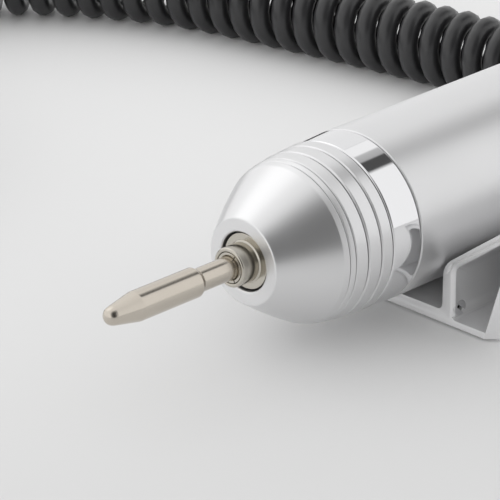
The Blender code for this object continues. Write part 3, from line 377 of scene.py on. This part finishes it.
finishes = {
    "satin_aluminium": satinAluminium("satin_aluminium", satinLook),
    "cradle_aluminium": satinAluminium("cradle_aluminium", cradleLook),
    "chrome_plate": brightMetal("chrome_plate", (0.82, 0.82, 0.83), 0.06, hairlines=0.08, shade=0.97),
    "warm_nickel": brightMetal("warm_nickel", (0.62, 0.57, 0.5), 0.2, hairlines=0.5),
    "spindle_steel": brightMetal("spindle_steel", (0.57, 0.54, 0.48), 0.17, hairlines=0.35),
    "tool_steel": toolSteel("tool_steel", toolLook),
    "bearing_steel": brightMetal("bearing_steel", (0.66, 0.66, 0.68), 0.14),
    "brass_parts": brightMetal("brass_parts", (0.78, 0.6, 0.32), 0.28, hairlines=0.5),
    "laminated_iron": laminatedIron("laminated_iron", ironLook),
    "magnet_black": pressedPowder("magnet_black", (0.05, 0.05, 0.055), 0.6),
    "carbon": pressedPowder("carbon", (0.02, 0.02, 0.02), 0.65),
    "copper_colour": woundCopper("copper_colour", copperLook),
    "black_cord": mouldedPlastic("black_cord", (0.012, 0.012, 0.013), 0.3, grain=1500, depth=0.000012),
    "black_rubber": mouldedPlastic("black_rubber", (0.02, 0.02, 0.021), 0.55),
    "black_plastic": mouldedPlastic("black_plastic", (0.03, 0.03, 0.032), 0.4),
    "white_nylon": mouldedPlastic("white_nylon", (0.78, 0.77, 0.72), 0.45),
    "red_wire": mouldedPlastic("red_wire", (0.5, 0.04, 0.03), 0.38),
}
for name, node in frame["nodes"].items():
    slotName = node.data.materials[0].name.split(".")[0]
    node.data.materials.clear()
    node.data.materials.append(finishes[slotName])
print("finishes ready:", len(finishes))


# a finished mesh becomes an object that rides on a body and may stand for CAD nodes
def placePiece(name, bm, body, slotName, *stoodFor, sharp=38):
    bm.normal_update()
    for face in bm.faces:
        face.smooth = True
    for edge in bm.edges:
        if len(edge.link_faces) == 2:
            edge.smooth = edge.calc_face_angle(0) < math.radians(sharp)
    piece = looseObject(name, bm)
    piece.data.materials.append(finishes[slotName])
    if body:
        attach(piece, body)
    if stoodFor:
        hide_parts(*stoodFor)
    return piece


def looseObject(name, bm):
    mesh = bpy.data.meshes.new(name)
    bm.to_mesh(mesh)
    bm.free()
    holder = bpy.data.objects.new(name, mesh)
    bpy.context.scene.collection.objects.link(holder)
    return holder


def finalMesh(holder):  # the mesh after modifiers, or of a curve
    return bpy.data.meshes.new_from_object(holder.evaluated_get(bpy.context.evaluated_depsgraph_get()))


def cadCopy(nodeName):
    bm = bmesh.new()
    bm.from_mesh(frame["nodes"][nodeName].data)
    bmesh.ops.remove_doubles(bm, verts=bm.verts, dist=cadWeldGap)
    return bm


def cadMiddle(nodeName):  # the middle of a node's box, in metres
    low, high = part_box(nodeName)
    return (Vector(low) + Vector(high)) / 2


def ease(bm, parts, width, segments, affect="EDGES"):
    bmesh.ops.bevel(
        bm,
        geom=parts,
        offset=width * mm,
        offset_type="OFFSET",
        segments=segments,
        profile=0.5,
        affect=affect,
        material=-1,
    )


def supported(corners, closed):  # a point close to each end of a long side keeps its shading flat
    margin = 0.05
    fuller = []
    for i, (r, s, width) in enumerate(corners):
        fuller.append((r, s, width))
        if i + 1 < len(corners) or closed:
            nextR, nextS, nextWidth = corners[(i + 1) % len(corners)]
            length = math.hypot(nextR - r, nextS - s)
            if length > 6 * margin + width + nextWidth:
                for along in (width + margin, length - nextWidth - margin):
                    share = along / length
                    fuller.append((r + (nextR - r) * share, s + (nextS - s) * share, 0))
    return fuller


# spins a half section round the handpiece's axis; each corner is (radius, station, ease) in mm
def turnedSection(corners, steps, closed=True, easeSegments=3):
    corners = supported(corners, closed)
    bm = bmesh.new()
    verts = [bm.verts.new((r * mm, (ringPlace - s) * mm, axisHeight * mm)) for r, s, width in corners]
    following = verts[1:] + verts[:1] if closed else verts[1:]
    for a, b in zip(verts, following):
        bm.edges.new((a, b))
    for vert, (r, s, width) in zip(verts, corners):
        if width:
            ease(bm, [vert], width, easeSegments, affect="VERTICES")
    bmesh.ops.spin(
        bm,
        geom=bm.verts[:] + bm.edges[:],
        cent=(0, 0, axisHeight * mm),
        axis=(0, 1, 0),
        angle=fullTurn,
        steps=steps,
        use_merge=True,
    )
    bmesh.ops.remove_doubles(bm, verts=bm.verts, dist=weldGap)
    bmesh.ops.recalc_face_normals(bm, faces=bm.faces)
    return bm


def cutAway(bm, *tools):  # takes closed shapes out of a closed shape
    blank = looseObject("blank", bm)
    cutters = [looseObject("cutter", tool) for tool in tools]
    for cutter in cutters:
        cut = blank.modifiers.new("cut", "BOOLEAN")
        cut.operation, cut.solver, cut.object = "DIFFERENCE", "EXACT", cutter
    shape = finalMesh(blank)
    result = bmesh.new()
    result.from_mesh(shape)
    for holder in (blank, *cutters):
        bpy.data.objects.remove(holder)
    bmesh.ops.remove_doubles(result, verts=result.verts, dist=weldGap)
    bmesh.ops.dissolve_degenerate(result, edges=result.edges, dist=weldGap)
    return result


def blockShape(size, centre, turn=None):  # a cuboid, sizes and centre in mm
    bm = bmesh.new()
    bmesh.ops.create_cube(bm, size=1)
    bmesh.ops.scale(bm, vec=Vector(size) * mm, verts=bm.verts)
    if turn:
        bmesh.ops.rotate(bm, cent=(0, 0, 0), matrix=turn, verts=bm.verts)
    bmesh.ops.translate(bm, vec=Vector(centre) * mm, verts=bm.verts)
    return bm


# coiled cord: a lead, the curls and a tail in one wire, in mm
cordSize = {
    "wire": 1.15,
    "curl": 3.5,
    "pitch": 2.82,
    "perTurn": 18,
    "sides": 4,
    "start": (0, 89.8, 10.7),
    "exit": (0, 91.6, 10.7),
    "lead": [
        (0, 101, 10.3),
        (-2.5, 110, 7.4),
        (-9.5, 115.5, 3.6),
        (-18, 114, 1.6),
        (-24, 107, 1.15),
        (-26, 96, 1.15),
        (-24.5, 80, 1.15),
        (-21.5, 64, 1.15),
        (-20, 50, 1.15),
        (-19.8, 40, 1.15),
    ],
    "curls": [
        (-20, 29),
        (-33.9, 27.2),
        (-54.3, 23.4),
        (-72, 18.6),
        (-88, 7.5),
        (-96, -8.5),
        (-90.5, -26),
        (-74.5, -35.5),
        (-56, -41.5),
    ],
    "tail": [(-57.6, -50.5, 7.3), (-59.5, -58.5, 4.8), (-64.5, -66, 2.8), (-72, -70.5, 2.2), (-79, -71.8, 3.2)],
    "runIn": (1.1, 2.3, 4.9),  # straight points before and after the curls
    "plug": (-86, -72, 4.2),
    "plugHeading": 184,
    "plugDepths": (0.3, -1.2),  # the last points, outside and inside the plug
    "leadSpacing": 2.0,
    "tailSpacing": 1.5,
}


def reached(marks, wanted, i):  # the gap between marks that holds the wanted value, and the share of it
    while i < len(marks) - 2 and marks[i + 1] < wanted:
        i += 1
    return i, min(1.0, (wanted - marks[i]) / (marks[i + 1] - marks[i]))


def smoothLine(route, spacing):  # evenly spaced points on a curve through the route
    perSpan = 24
    route = [Vector(p) for p in route]
    ends = [2 * route[0] - route[1], *route, 2 * route[-1] - route[-2]]
    fine = []
    for p0, p1, p2, p3 in zip(ends, ends[1:], ends[2:], ends[3:]):
        for t in [i / perSpan for i in range(perSpan)]:
            bend = (2 * p0 - 5 * p1 + 4 * p2 - p3) * t**2 + (3 * p1 - p0 - 3 * p2 + p3) * t**3
            fine.append(0.5 * (2 * p1 + (p2 - p0) * t + bend))
    fine.append(route[-1])
    travelled = [0.0]
    for a, b in zip(fine, fine[1:]):
        travelled.append(travelled[-1] + (b - a).length)
    count = max(2, round(travelled[-1] / spacing))
    line, i = [], 0
    for k in range(count + 1):
        i, share = reached(travelled, travelled[-1] * k / count, i)
        line.append(fine[i].lerp(fine[i + 1], share))
    return line


def curlLine(size):  # the helix, spaced evenly on the inner side of each bend
    curl, pitch = size["curl"], size["pitch"]
    height = curl + size["wire"]
    route = smoothLine([(x, y, height) for x, y in size["curls"]], size["wire"] / 4)
    heading = [(b - a).normalized() for a, b in zip(route, route[1:])]
    heading.append(heading[-1])
    up = Vector((0, 0, 1))
    phases = [0.0]
    for a, b, before, after in zip(route, route[1:], heading, heading[1:]):
        step = (b - a).length
        inner = max(step - curl * before.angle(after), step / 2)
        phases.append(phases[-1] + fullTurn * inner / pitch)
    turns = round(phases[-1] / fullTurn - 0.5) + 0.5  # ends on the far side of a curl
    phases = [phase * fullTurn * turns / phases[-1] for phase in phases]
    line, i = [], 0
    for k in range(round(turns * size["perTurn"]) + 1):
        phase = fullTurn * k / size["perTurn"]
        i, share = reached(phases, phase, i)
        centre = route[i].lerp(route[i + 1], share)
        side = heading[i].cross(up).normalized()
        line.append(centre - curl * (side * math.sin(phase) + up * math.cos(phase)))
    ways = []
    for j, turn in ((0, 0), (i, phase)):  # the wire's direction where the curls begin and end
        across = heading[j].cross(up) * math.cos(turn)
        ways.append((heading[j] * pitch - fullTurn * curl * across).normalized())
    return line, *ways


def makeCord(size):
    curls, into, out = curlLine(size)
    wire = size["wire"]
    near, middle, far = size["runIn"]
    plug, heading = Vector(size["plug"]), math.radians(size["plugHeading"])
    back = Vector((math.cos(heading), math.sin(heading), 0))
    lead = [Vector(size["start"]), Vector(size["exit"]), *size["lead"], curls[0] - into * far, curls[0] - into * middle]
    tail = [curls[-1] + out * middle, curls[-1] + out * far, *size["tail"]]
    tail += [plug - back * depth for depth in size["plugDepths"]]
    line = smoothLine(lead, size["leadSpacing"]) + [curls[0] - into * near] + curls
    line += [curls[-1] + out * near] + smoothLine(tail, size["tailSpacing"])
    line = [p * mm for p in line]
    curve = bpy.data.curves.new("coiled_cord", "CURVE")
    curve.dimensions = "3D"
    curve.twist_mode = "MINIMUM"
    curve.bevel_depth = wire * mm
    curve.bevel_resolution = size["sides"]
    curve.use_fill_caps = True
    spline = curve.splines.new("POLY")
    spline.points.add(len(line) - 1)
    for point, spot in zip(spline.points, line):
        point.co = (*spot, 1)
    holder = bpy.data.objects.new("cord_line", curve)
    bpy.context.scene.collection.objects.link(holder)
    bm = bmesh.new()
    bm.from_mesh(finalMesh(holder))
    bpy.data.objects.remove(holder)
    cord = placePiece("coiled_cord", bm, None, "black_cord", "cord_lead", "cord_curls", "cord_tail", sharp=60)
    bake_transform(cord)
    length = sum((b - a).length for a, b in zip(line, line[1:]))
    print("cord made, length along the wire", round(length, 3))


makeCord(cordSize)


# nose sleeve: face, crowned cone, four grooves between the grip bands
noseSize = {
    "hole": 3.02,
    "face": 15.55,
    "faceRadius": 4.52,
    "faceEdge": (0.12, 0.02, 0.2),
    "crown": (6.56, 12.35, 1.6),
    "kink": (7.97, 9.85, 0.05),
    "grooves": [(8.16, 9.13, 0.24), (8.29, 8.46, 0.24), (8.49, 6.93, 0.4), (8.61, 5.22, 0.34)],
    "depth": 1.5,  # depth and lip are parts of a groove's width
    "lip": 0.36,
    "rear": (8.7, 3.84),
    "inside": [(6.8, 3.84, 0), (6.8, 9.4, 0), (5.5, 9.4, 0), (5.5, 12.8, 0), (3.22, 14.8, 0)],
}


def makeNose(size):
    face, hole, rim = size["face"], size["hole"], size["faceRadius"]
    edge, swell, drop = size["faceEdge"]
    corners = [(hole + edge, face, 0.05), (rim - edge, face, 0.1), (rim + swell, face - drop, 0.08)]
    corners += [size["crown"], size["kink"]]
    for r, s, width in size["grooves"]:  # the rear lip is broken more than the front one
        low, half, lip = r - size["depth"] * width, width / 2, size["lip"] * width
        corners += [(r, s + half, 0.02), (low, s + half, 0), (low, s - half + lip, 0)]
        corners += [(r - lip, s - half + lip, 0.01), (r, s - half, 0.02)]
    corners += [(*size["rear"], 0.06), *size["inside"], (hole, size["inside"][-1][1], 0), (hole, face - edge, 0.05)]
    placePiece("nose_shell", turnedSection(corners, 192), "nose", "satin_aluminium", "nose_sleeve")


makeNose(noseSize)

# chrome ring, a little narrower in front
ringSize = {"radius": 8.8, "frontRadius": 8.64, "width": 3.6, "ease": 0.1, "mouth": 0.13, "bore": 7.8}


def makeRing(size):
    front, width, mouth = size["frontRadius"], size["width"], size["mouth"]
    corners = [(front - mouth, width, 0.02), (front, width - mouth, 0.02), (size["radius"], 0, size["ease"])]
    corners += [(size["bore"], 0, 0), (size["bore"], width, 0)]
    placePiece("plated_ring", turnedSection(corners, 192), "handpiece", "chrome_plate", "chrome_ring")


makeRing(ringSize)

# barrel, swelling slightly towards its rear
barrelSize = {
    "front": -0.15,
    "rear": -84.15,
    "radius": 8.8,
    "swell": 0.7,
    "swellPart": (0.5, 0.42),  # where the swell starts and how long it is, as parts of the length
    "swellSteps": 12,
    "rearStep": 0.05,
    "bore": 7.8,
}


def makeBarrel(size):
    radius, front, rear, bore = size["radius"], size["front"], size["rear"], size["bore"]
    begin, reach = size["swellPart"]
    corners = [(radius, front, 0.15)]
    for i in range(size["swellSteps"] + 1):
        share = i / size["swellSteps"]
        swell = share * share * (3 - 2 * share) * size["swell"]
        corners.append((radius + swell, front - (front - rear) * (begin + reach * share), 0))
    corners += [(radius + size["swell"] - size["rearStep"], rear, 0.18), (bore, rear, 0), (bore, front, 0)]
    placePiece("barrel_shell", turnedSection(corners, 192), "handpiece", "satin_aluminium", "barrel")


makeBarrel(barrelSize)

# rear cap: a quarter round from the barrel down to the neck, with a spigot in front
capSize = {
    "front": -84.3,
    "rear": -96.3,
    "radius": 9.45,
    "neck": 4.6,
    "steps": 16,
    "mouth": (0.2, 3.8),
    "spigot": (7.6, 5),
    "inside": [(3.8, -93.5, 0), (4.6, -92.3, 0), (6.3, -85.6, 0)],
}


def makeCap(size):
    front, rear, neck = size["front"], size["rear"], size["neck"]
    spigot, spigotLength = size["spigot"]
    edge, mouth = size["mouth"]
    corners = [(spigot, front + spigotLength, 0), (spigot, front, 0), (size["radius"], front, 0.15)]
    for i in range(1, size["steps"]):
        turn = math.pi / 2 * i / size["steps"]
        r = neck + (size["radius"] - neck) * math.cos(turn)
        corners.append((r, front - (front - rear) * math.sin(turn), 0))
    corners += [(neck - edge, rear, 0.15), (mouth, rear, 0.12), *size["inside"]]
    corners.append((size["inside"][-1][0], front + spigotLength, 0))
    placePiece("end_cap", turnedSection(corners, 160), "handpiece", "satin_aluminium", "rear_cap")


makeCap(capSize)

# strain relief with moulded ribs
reliefSize = {
    "front": -93.7,
    "ribsFrom": -97.9,
    "end": -116.6,
    "root": 3.6,
    "tip": 2.1,
    "ribs": 7,
    "ribShares": ((0.12, 1), (0.42, 1), (0.5, 0), (0.92, 0)),  # place along a rib, and 1 where it is cut in
    "depth": 0.5,
    "hole": (1.25, 3),
}


def makeRelief(size):
    root, tip, begin, end = size["root"], size["tip"], size["ribsFrom"], size["end"]
    hole, depth = size["hole"]
    corners = [(0, size["front"], 0), (root, size["front"], 0.1), (root, begin, 0.2)]
    for i in range(size["ribs"]):
        for share, cut in size["ribShares"]:
            along = (i + share) / size["ribs"]
            corners.append((root + (tip - root) * along - size["depth"] * cut, begin - (begin - end) * along, 0.09))
    corners += [(tip, end, 0.15), (hole, end, 0.06), (hole, end + depth, 0), (0, end + depth, 0)]
    bm = turnedSection(corners, 64, closed=False, easeSegments=2)
    placePiece("cord_relief", bm, "handpiece", "black_rubber", "strain_relief")


makeRelief(reliefSize)

# bit: shank, head, taper and a domed tip
bitSize = {
    "shank": 1.175,
    "head": 1.5,
    "tip": 0.93,
    "tipEdge": 0.03,
    "stations": (1.5, 21.7, 22.2, 29.8, 32.7),
    "dome": 0.9,
    "domeSteps": 8,
}


def makeBit(size):
    shank, head, tip = size["shank"], size["head"], size["tip"]
    end, step, chamfer, taper, front = size["stations"]
    corners = [(0, end, 0), (shank, end, 0.15), (shank, step, 0.04), (head, chamfer, 0.07)]
    corners += [(head, taper, 0.06), (tip + size["tipEdge"], front, 0.03)]
    for i in range(1, size["domeSteps"]):
        turn = math.pi / 2 * i / size["domeSteps"]
        corners.append((tip * math.cos(turn), front + size["dome"] * math.sin(turn), 0))
    corners.append((0, front + size["dome"], 0))
    placePiece("polishing_bit", turnedSection(corners, 128, closed=False), "bit", "warm_nickel", "bit")


makeBit(bitSize)

# spindle: collar, root line, flange and journal, with the slot for the draw pin
spindleSize = {
    "bore": 1.6,
    "boreEdge": 0.08,
    "collar": 2.0,
    "front": 17.5,
    "chamfer": 0.13,
    "rootLine": (0.05, 0.224, 0.208, 0.16),  # a fine groove: depth, then edge, front and rear above the flange
    "root": (2.14, 0.048),
    "flange": (2.82, 15.22, 14.55),
    "journal": 2.3,
    "rear": -21.7,
    "seat": (0.9, -3.8, -2.8),
    "pinSlot": (1.0, 2.0, 6),
    "pinRoom": 0.5,
}


def makeSpindle(size):
    bore, collar, front, chamfer = size["bore"], size["collar"], size["front"], size["chamfer"]
    flange, flangeFront, flangeRear = size["flange"]
    cut, lineEdge, lineFront, lineRear = size["rootLine"]
    root, rise = size["root"]
    hole, seatRear, seatFront = size["seat"]
    journal, rear = size["journal"], size["rear"]
    corners = [(bore + size["boreEdge"], front, 0.04), (collar - chamfer, front, 0.04), (collar, front - chamfer, 0.04)]
    corners += [(collar, flangeFront + lineEdge, 0.01), (collar - cut, flangeFront + lineFront, 0)]
    corners += [(collar - cut, flangeFront + lineRear, 0), (root, flangeFront + rise, 0.01), (root, flangeFront, 0)]
    corners += [(flange, flangeFront, 0.06), (flange, flangeRear, 0.08), (journal, flangeRear, 0.05)]
    corners += [(journal, rear, 0.1), (bore, rear, 0.06), (bore, seatRear, 0), (hole, seatRear, 0)]
    corners += [(hole, seatFront, 0), (bore, seatFront, 0), (bore, front - size["boreEdge"], 0.04)]
    pin = cadMiddle("draw_pin") / mm
    length = size["pinSlot"][1]
    slot = blockShape(size["pinSlot"], (0, pin.y - length / 2 + size["pinRoom"], axisHeight))
    spindle = cutAway(turnedSection(corners, 128), slot)
    placePiece("spindle_nose", spindle, "spindle", "spindle_steel", "spindle")


makeSpindle(spindleSize)

# collet: slit tube in front, stem behind, cross drilled for the draw pin
colletSize = {
    "bore": 1.2,
    "radius": 1.55,
    "front": 17.44,
    "mouth": 0.1,
    "socket": 1.3,
    "stem": (0.8, -2.6, -15.1),
    "drill": (0.5, 8),
    "slits": (60, 180, 300),
    "slitWidth": 0.12,
    "slitDepth": 9.0,
    "overrun": 0.2,
}


def makeCollet(size):
    bore, radius, front, mouth = size["bore"], size["radius"], size["front"], size["mouth"]
    stem, stemFront, rear = size["stem"]
    corners = [(0, size["socket"], 0), (bore, size["socket"], 0), (bore, front - mouth, 0.02)]
    corners += [(bore + mouth, front, 0.02), (radius, front, 0.04), (radius, stemFront, 0.06)]
    corners += [(stem, stemFront, 0.04), (stem, rear, 0.1), (0, rear, 0)]
    tools = []
    reach = radius + size["overrun"]
    for turn in size["slits"]:
        angle = math.radians(turn)
        centre = (reach / 2 * math.cos(angle), ringPlace - front, axisHeight + reach / 2 * math.sin(angle))
        turned = Matrix.Rotation(-angle, 3, "Y")
        tools.append(blockShape((reach, 2 * size["slitDepth"], size["slitWidth"]), centre, turned))
    drill = bmesh.new()
    drillRadius, depth = (part * mm for part in size["drill"])
    bmesh.ops.create_cone(drill, cap_ends=True, segments=32, radius1=drillRadius, radius2=drillRadius, depth=depth)
    bmesh.ops.translate(drill, vec=cadMiddle("draw_pin"), verts=drill.verts)
    collet = cutAway(turnedSection(corners, 96, closed=False), *tools, drill)
    placePiece("slit_collet", collet, "collet", "spindle_steel", "collet")


makeCollet(colletSize)


def makeSpring():  # the chuck spring, between its seat in the spindle and the nut on the collet's stem, copied from the CAD node with its place baked in
    spring = placePiece("coil_spring", cadCopy("chuck_spring"), None, "tool_steel", "chuck_spring")
    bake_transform(spring)


makeSpring()
print("shells, bit and chuck made")


# cradle: the extruded section, its ends deburred
cradleSize = {
    "halfLength": 20.5,
    "postFaces": (8.8, 9.4),  # the posts' faces in the cells and the round corners above them
    "postHeights": (0.9, 5.5, 6.7),
    "postExtra": 0.24,
    "innerArc": (10.11, 5.55, 10.09, 5.876, 0.794),  # the corner's centre in the CAD and here, and its scale
    "cellMouth": 0.35,
    "mouthFacing": (0.55, 0.05, 0.1),  # of the faces there: least to the outside, most upwards and endwards
    "seams": (((8.93, 6.83), (15.5, 11.8)), ((8.37, 5.8), (9.0, 6.95))),
    "seamDepth": 0.13,
    "seamBar": 0.4,
    "footRelief": (1.2, 0.26),
    "overWidth": 60,
    "sharpAngle": 24,
    "ease": 0.05,
}


def thickenPosts(bm, size):  # on the side of the cells
    inner, outer = size["postFaces"]
    low, bend, high = size["postHeights"]
    oldX, oldZ, newX, newZ, scale = size["innerArc"]
    for vert in bm.verts:
        side, x, z = math.copysign(1, vert.co.x), abs(vert.co.x) / mm, vert.co.z / mm
        if inner < x < outer and low < z < bend:
            vert.co.x += side * size["postExtra"] * mm
        elif inner < x < outer and bend < z < high:
            vert.co.x = side * (newX + (x - oldX) * scale) * mm
            vert.co.z = (newZ + (z - oldZ) * scale) * mm
    bm.normal_update()


def mouthEdges(bm, size):  # round the cells at both ends, on the posts and under the wings
    outwards, upwards, endwards = size["mouthFacing"]
    level = 0.001
    found = []
    for edge in bm.edges:
        a, b = (vert.co / mm for vert in edge.verts)
        if len(edge.link_faces) == 2 and abs(a.y - b.y) < level and abs(abs(a.y) - size["halfLength"]) < level:
            for face in edge.link_faces:
                across = face.normal.x * math.copysign(1, a.x)
                if across > outwards and face.normal.z < upwards and abs(face.normal.y) < endwards:
                    found.append(edge)
    return found


def seamTools(size, side, start, end):  # a square bar on its edge leaves a V
    length, rise = end[0] - start[0], math.atan2(end[1] - start[1], end[0] - start[0])
    turn = Matrix.Rotation(-side * rise, 3, "Y") @ Matrix.Rotation(math.pi / 4, 3, "X")
    bar = (length / math.cos(rise), size["seamBar"], size["seamBar"])
    x, z = side * (start[0] + end[0]) / 2, (start[1] + end[1]) / 2
    y = size["halfLength"] + size["seamBar"] / math.sqrt(2) - size["seamDepth"]
    return [blockShape(bar, (x, way * y, z), turn) for way in (-1, 1)]


def makeCradle(size):
    bm = cadCopy("cradle")
    bmesh.ops.dissolve_limit(bm, angle_limit=math.radians(1), verts=bm.verts, edges=bm.edges)
    thickenPosts(bm, size)
    ease(bm, mouthEdges(bm, size), size["cellMouth"], 1)
    setback, relief = size["footRelief"]
    rim = (size["overWidth"], 2 * setback, 2 * relief)  # the plate stands on its middle
    bm = cutAway(bm, *[blockShape(rim, (0, way * size["halfLength"], 0)) for way in (-1, 1)])
    for start, end in size["seams"]:  # a seam shows across the ends of the wings
        for side in (-1, 1):
            bm = cutAway(bm, *seamTools(size, side, start, end))
    least = math.radians(size["sharpAngle"])
    ease(bm, [e for e in bm.edges if len(e.link_faces) == 2 and e.calc_face_angle(0) > least], size["ease"], 2)
    bm.normal_update()
    bmesh.ops.triangulate(bm, faces=[f for f in bm.faces if len(f.verts) > 4])
    placePiece("cradle_extrusion", bm, "cradle", "cradle_aluminium", "cradle")


makeCradle(cradleSize)

# cradle screws: flush heads with a wide slot
screwSize = {
    "radius": 0.85,
    "head": 9.13,  # from the middle of the cradle
    "depth": 0.86,
    "rim": 0.12,
    "slotWidth": 0.36,
    "slotDepth": 0.5,
    "slotTurn": -41,
    "overrun": 0.4,
}


def makeScrews(size):
    radius, head, depth = size["radius"], size["head"], size["depth"]
    for number in range(1, 5):
        centre = cadMiddle("cradle_screw_%d" % number) / mm
        side = math.copysign(1, centre.x)
        bm = bmesh.new()
        width = radius * mm
        bmesh.ops.create_cone(bm, cap_ends=True, segments=48, radius1=width, radius2=width, depth=depth * mm)
        ease(bm, [e for e in bm.edges if e.calc_face_angle(0) > 1], size["rim"], 3)
        bmesh.ops.rotate(bm, cent=(0, 0, 0), matrix=Matrix.Rotation(math.pi / 2, 3, "Y"), verts=bm.verts)
        place = Vector((side * (head - depth / 2), centre.y, centre.z))
        bmesh.ops.translate(bm, vec=place * mm, verts=bm.verts)
        turn = Matrix.Rotation(math.radians(size["slotTurn"]) * side, 3, "X")
        slot = (2 * size["slotDepth"], 2 * radius + size["overrun"], size["slotWidth"])
        screw = cutAway(bm, blockShape(slot, (side * head, centre.y, centre.z), turn))
        placePiece("slotted_screw_%d" % number, screw, "cradle", "tool_steel", "cradle_screw_%d" % number)


makeScrews(screwSize)
print("pieces made")


# floor: pale paper, with painted shade that darkens it towards the front
floorLook = {
    "paper": (0.74, 0.74, 0.74),
    # the paper's colour where the painted shade is deepest, at the front
    "front": (0.55, 0.55, 0.55),
    "paintedShadeWay": (0.705, -0.71, 0),
    "paintedShadeEdges": (-0.06, 0.13),
    "roughness": (0.55, 0.1),
    "grainScale": 40,
    "size": 1.6,
}


def makeFloor(look):
    bm = bmesh.new()
    bmesh.ops.create_grid(bm, x_segments=1, y_segments=1, size=look["size"])
    floor = looseObject("floor", bm)
    least, more = look["roughness"]
    finish = Finish("floor", look["paper"], least)
    # painted shade: the paper's colour darkens towards the front
    paintedShadeToFront = finish.towards(look["paintedShadeWay"]).eased(*look["paintedShadeEdges"])
    finish.colour(finish.colours(paintedShadeToFront, look["paper"], look["front"]))
    finish.rough(least + finish.noise(look["grainScale"]) * more)
    floor.data.materials.append(finish.material)


# camera: far off with a long lens, place in mm and angles in degrees
cameraPlace = {
    "place": (245.97, -287.29, 166.72),
    "azimuth": 44.80,
    "elevation": 23.95,
    "lens": 288,
    "sensor": 36,
    "clip": (0.01, 20),
}


def makeCamera(look):
    data = bpy.data.cameras.new("camera")
    data.lens, data.sensor_width = look["lens"], look["sensor"]
    data.clip_start, data.clip_end = look["clip"]
    camera = bpy.data.objects.new("camera", data)
    bpy.context.scene.collection.objects.link(camera)
    camera.location = Vector(look["place"]) * mm
    camera.rotation_euler = (math.pi / 2 - math.radians(look["elevation"]), 0, math.radians(look["azimuth"]))
    bpy.context.scene.camera = camera


# room: pale all round; only polished metal sees the shaded side and the gaps between the panels behind
roomLook = {
    "room": 1.03,
    "shade": 0.05,
    "shadeWay": (0.836, -0.224, 0.5),
    "shadeEdges": (0.53, 0.93),
    "lengthWay": (0.242, 0.97, 0),
    "shadeFront": (-0.85, -0.6),
    "shadeRear": (0.44, 0.22),
    "behind": (0.4, 0.55),
    "lowest": 0.05,
    "panels": [
        (0.15, 0.9),
        (0.165, 0.78),
        (0.18, 1.0),
        (0.35, 1.0),
        (0.375, 0.55),
        (0.46, 0.45),
        (0.48, 0.08),
        (0.6, 0.08),
        (0.64, 1.0),
    ],
    "lampWay": (-0.655, -0.03, 0.755),
    "lampEdges": (0.89, 0.97),
    "lamp": 0.38,
    "fill": (0.93, 2.6),  # for rough surfaces: all round, and more from low in front
    "fillWay": (-0.55, -0.83, 0),
    "fillEdges": (-0.1, 0.7),
    "fillHeights": (0.65, 0.15),
}


def makeRoom(look):
    world = bpy.data.worlds.new("studio")
    world.use_nodes = True
    bpy.context.scene.world = world
    room = Bench(world.node_tree, "Generated")
    x, y, z = (room.along(axis) for axis in "XYZ")
    polished = room.node("ShaderNodeLightPath", {}, {}, "Is Glossy Ray")
    lengthwise = room.towards(look["lengthWay"])
    shade = room.towards(look["shadeWay"]).eased(*look["shadeEdges"])
    shade = shade * lengthwise.eased(*look["shadeFront"]) * lengthwise.eased(*look["shadeRear"]) * polished
    level = mixed(look["room"], look["shade"], shade)
    stops = [(position, (grey, grey, grey, 1)) for position, grey in look["panels"]]
    sideways = x / z.maths("MAXIMUM", z, look["lowest"]) * 0.5 + 0.5
    panels = room.node("ShaderNodeValToRGB", {"stops": stops}, {"Fac": sideways})
    behind = y.eased(*look["behind"]) * polished
    level = level * mixed(1, panels, behind)
    level = level + look["lamp"] * room.towards(look["lampWay"]).eased(*look["lampEdges"])
    least, more = look["fill"]
    low = z.eased(*look["fillHeights"]) * room.towards(look["fillWay"]).eased(*look["fillEdges"])
    level = level * mixed(least + more * low, 1, polished)
    backdrop = world.node_tree.nodes["Background"]
    room.feed(backdrop.inputs["Strength"], level)
    backdrop.inputs["Color"].default_value = (1, 1, 1, 1)


makeFloor(floorLook)
makeCamera(cameraPlace)
makeRoom(roomLook)
print("stage ready")

bpy.context.scene.view_settings.view_transform = "Standard"
